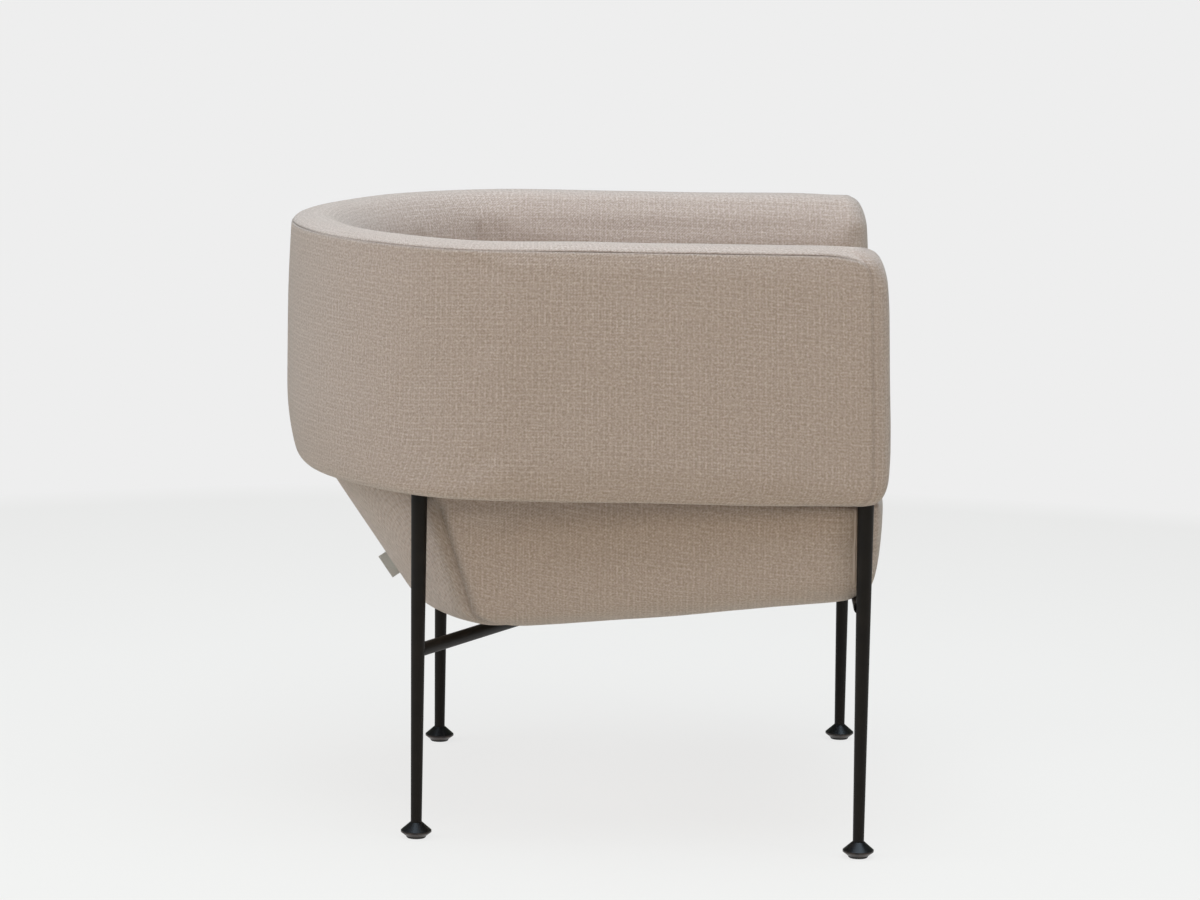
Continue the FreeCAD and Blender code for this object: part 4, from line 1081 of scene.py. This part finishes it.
clothe(shellCovers["outer"], coverCloth, ["shell_outer_cover", "shell_outer_padding"])
clothe(shellCovers["inner"], coverCloth, ["shell_inner_cover", "shell_inner_padding"])
clothe(seatCovers["top"], coverCloth, ["seat_top_cover", "seat_foam"])
clothe(seatCovers["belly"], coverCloth, ["seat_dust_cover", "seat_wadding_wrap"])
clothe(seatCovers["rear"], coverCloth, ["seat_rear_cover"])
clothe(seatCovers["left"], coverCloth, ["seat_left_cover"])
clothe(seatCovers["right"], coverCloth, ["seat_right_cover"])
clothe(seatBelts, beltCloth, ["seat_belts"])
clothe(rearTag, tagCloth, ["rear_tag"])
print("materials are on")


# studio: pale floor, cool light from above and behind, warmer light from the front and side
studio = {
    "background": linear(238, 238, 238), "floor": (0.90, 0.85, 0.76), "floorSize": 60,
    "shadowShare": 0.12, "lift": 1.015,
    "world": (0.165, 0.175, 0.146),
    "lamps": {
        "topSoftbox": ((-0.3, -0.2, 2.6), (0, 0, 0.5), 2.2, (59, 72, 82)),
        "frontSoftbox": ((-1.75, -3.05, 1.9), (0, 0, 0.3), 0.5, (15, 13.5, 12)),
        "roomSoftbox": ((-3.4, 0.3, 2.3), (0, 0, 0.4), 1.6, (25, 21, 14)),
        "backSoftbox": ((-1.0, 3.0, 2.1), (0, 0, 0.5), 2.0, (43, 47, 51)),
    },
}


def buildFloor():
    bpy.ops.object.select_all(action="DESELECT")
    bpy.ops.mesh.primitive_plane_add(size=studio["floorSize"], location=(0, 0, 0))
    floor = bpy.context.object
    floor.name = floor.data.name = "studioFloor"
    n = Nodes("paleFloor")
    n.shader.inputs["Base Color"].default_value = (*studio["floor"], 1)
    n.shader.inputs["Roughness"].default_value = 0.9
    n.shader.inputs["Specular IOR Level"].default_value = 0.0
    glow = n.add("ShaderNodeEmission")
    glow.inputs["Color"].default_value = (*studio["background"], 1)
    where = n.add("ShaderNodeTexCoord").outputs["Object"]
    far = n.add("ShaderNodeVectorMath", operation="LENGTH")
    n.link(where, far.inputs[0])
    fade = n.math("MULTIPLY", n.math("SUBTRACT", far.outputs["Value"], 1.0), 0.7, clamp=True)
    share = n.math("MAXIMUM", fade, 1 - studio["shadowShare"])
    lift = n.math("MULTIPLY", n.math("SUBTRACT", 1.0, fade), studio["lift"] - 1)
    n.link(n.math("ADD", lift, 1.0), glow.inputs["Strength"])
    rays = n.add("ShaderNodeLightPath")
    seen = n.math("MAXIMUM", rays.outputs["Is Camera Ray"],
                  n.math("MAXIMUM", rays.outputs["Is Glossy Ray"], rays.outputs["Is Transmission Ray"]))
    blend = n.add("ShaderNodeMixShader")
    n.link(n.math("MULTIPLY", share, seen), blend.inputs["Fac"])
    n.link(n.shader.outputs[0], blend.inputs[1])
    n.link(glow.outputs[0], blend.inputs[2])
    n.link(blend.outputs[0], n.tree.nodes["Material Output"].inputs["Surface"])
    floor.data.materials.append(n.material)


def areaLight(name, place, aim, size, power):
    data = bpy.data.lights.new(name, "AREA")
    data.shape, data.size, data.energy = "SQUARE", size, max(power)
    data.color = [p / max(power) for p in power]
    lamp = bpy.data.objects.new(name, data)
    lamp.location = place
    lamp.rotation_mode = "QUATERNION"
    lamp.rotation_quaternion = (Vector(aim) - Vector(place)).to_track_quat("-Z", "Y")
    bpy.context.scene.collection.objects.link(lamp)


def buildLight():
    world = bpy.data.worlds.new("paleRoom")
    world.use_nodes = True
    tree = world.node_tree
    light = tree.nodes["Background"]
    light.inputs["Color"].default_value = (*studio["world"], 1)
    shown = tree.nodes.new("ShaderNodeBackground")
    shown.inputs["Color"].default_value = (*studio["background"], 1)
    rays = tree.nodes.new("ShaderNodeLightPath")
    pick = tree.nodes.new("ShaderNodeMixShader")
    tree.links.new(rays.outputs["Is Camera Ray"], pick.inputs["Fac"])
    tree.links.new(light.outputs[0], pick.inputs[1])
    tree.links.new(shown.outputs[0], pick.inputs[2])
    tree.links.new(pick.outputs[0], tree.nodes["World Output"].inputs["Surface"])
    bpy.context.scene.world = world
    for name, lamp in studio["lamps"].items():
        areaLight(name, *lamp)


buildFloor()
buildLight()
bpy.context.scene.view_settings.view_transform = "Standard"
print("studio is lit")
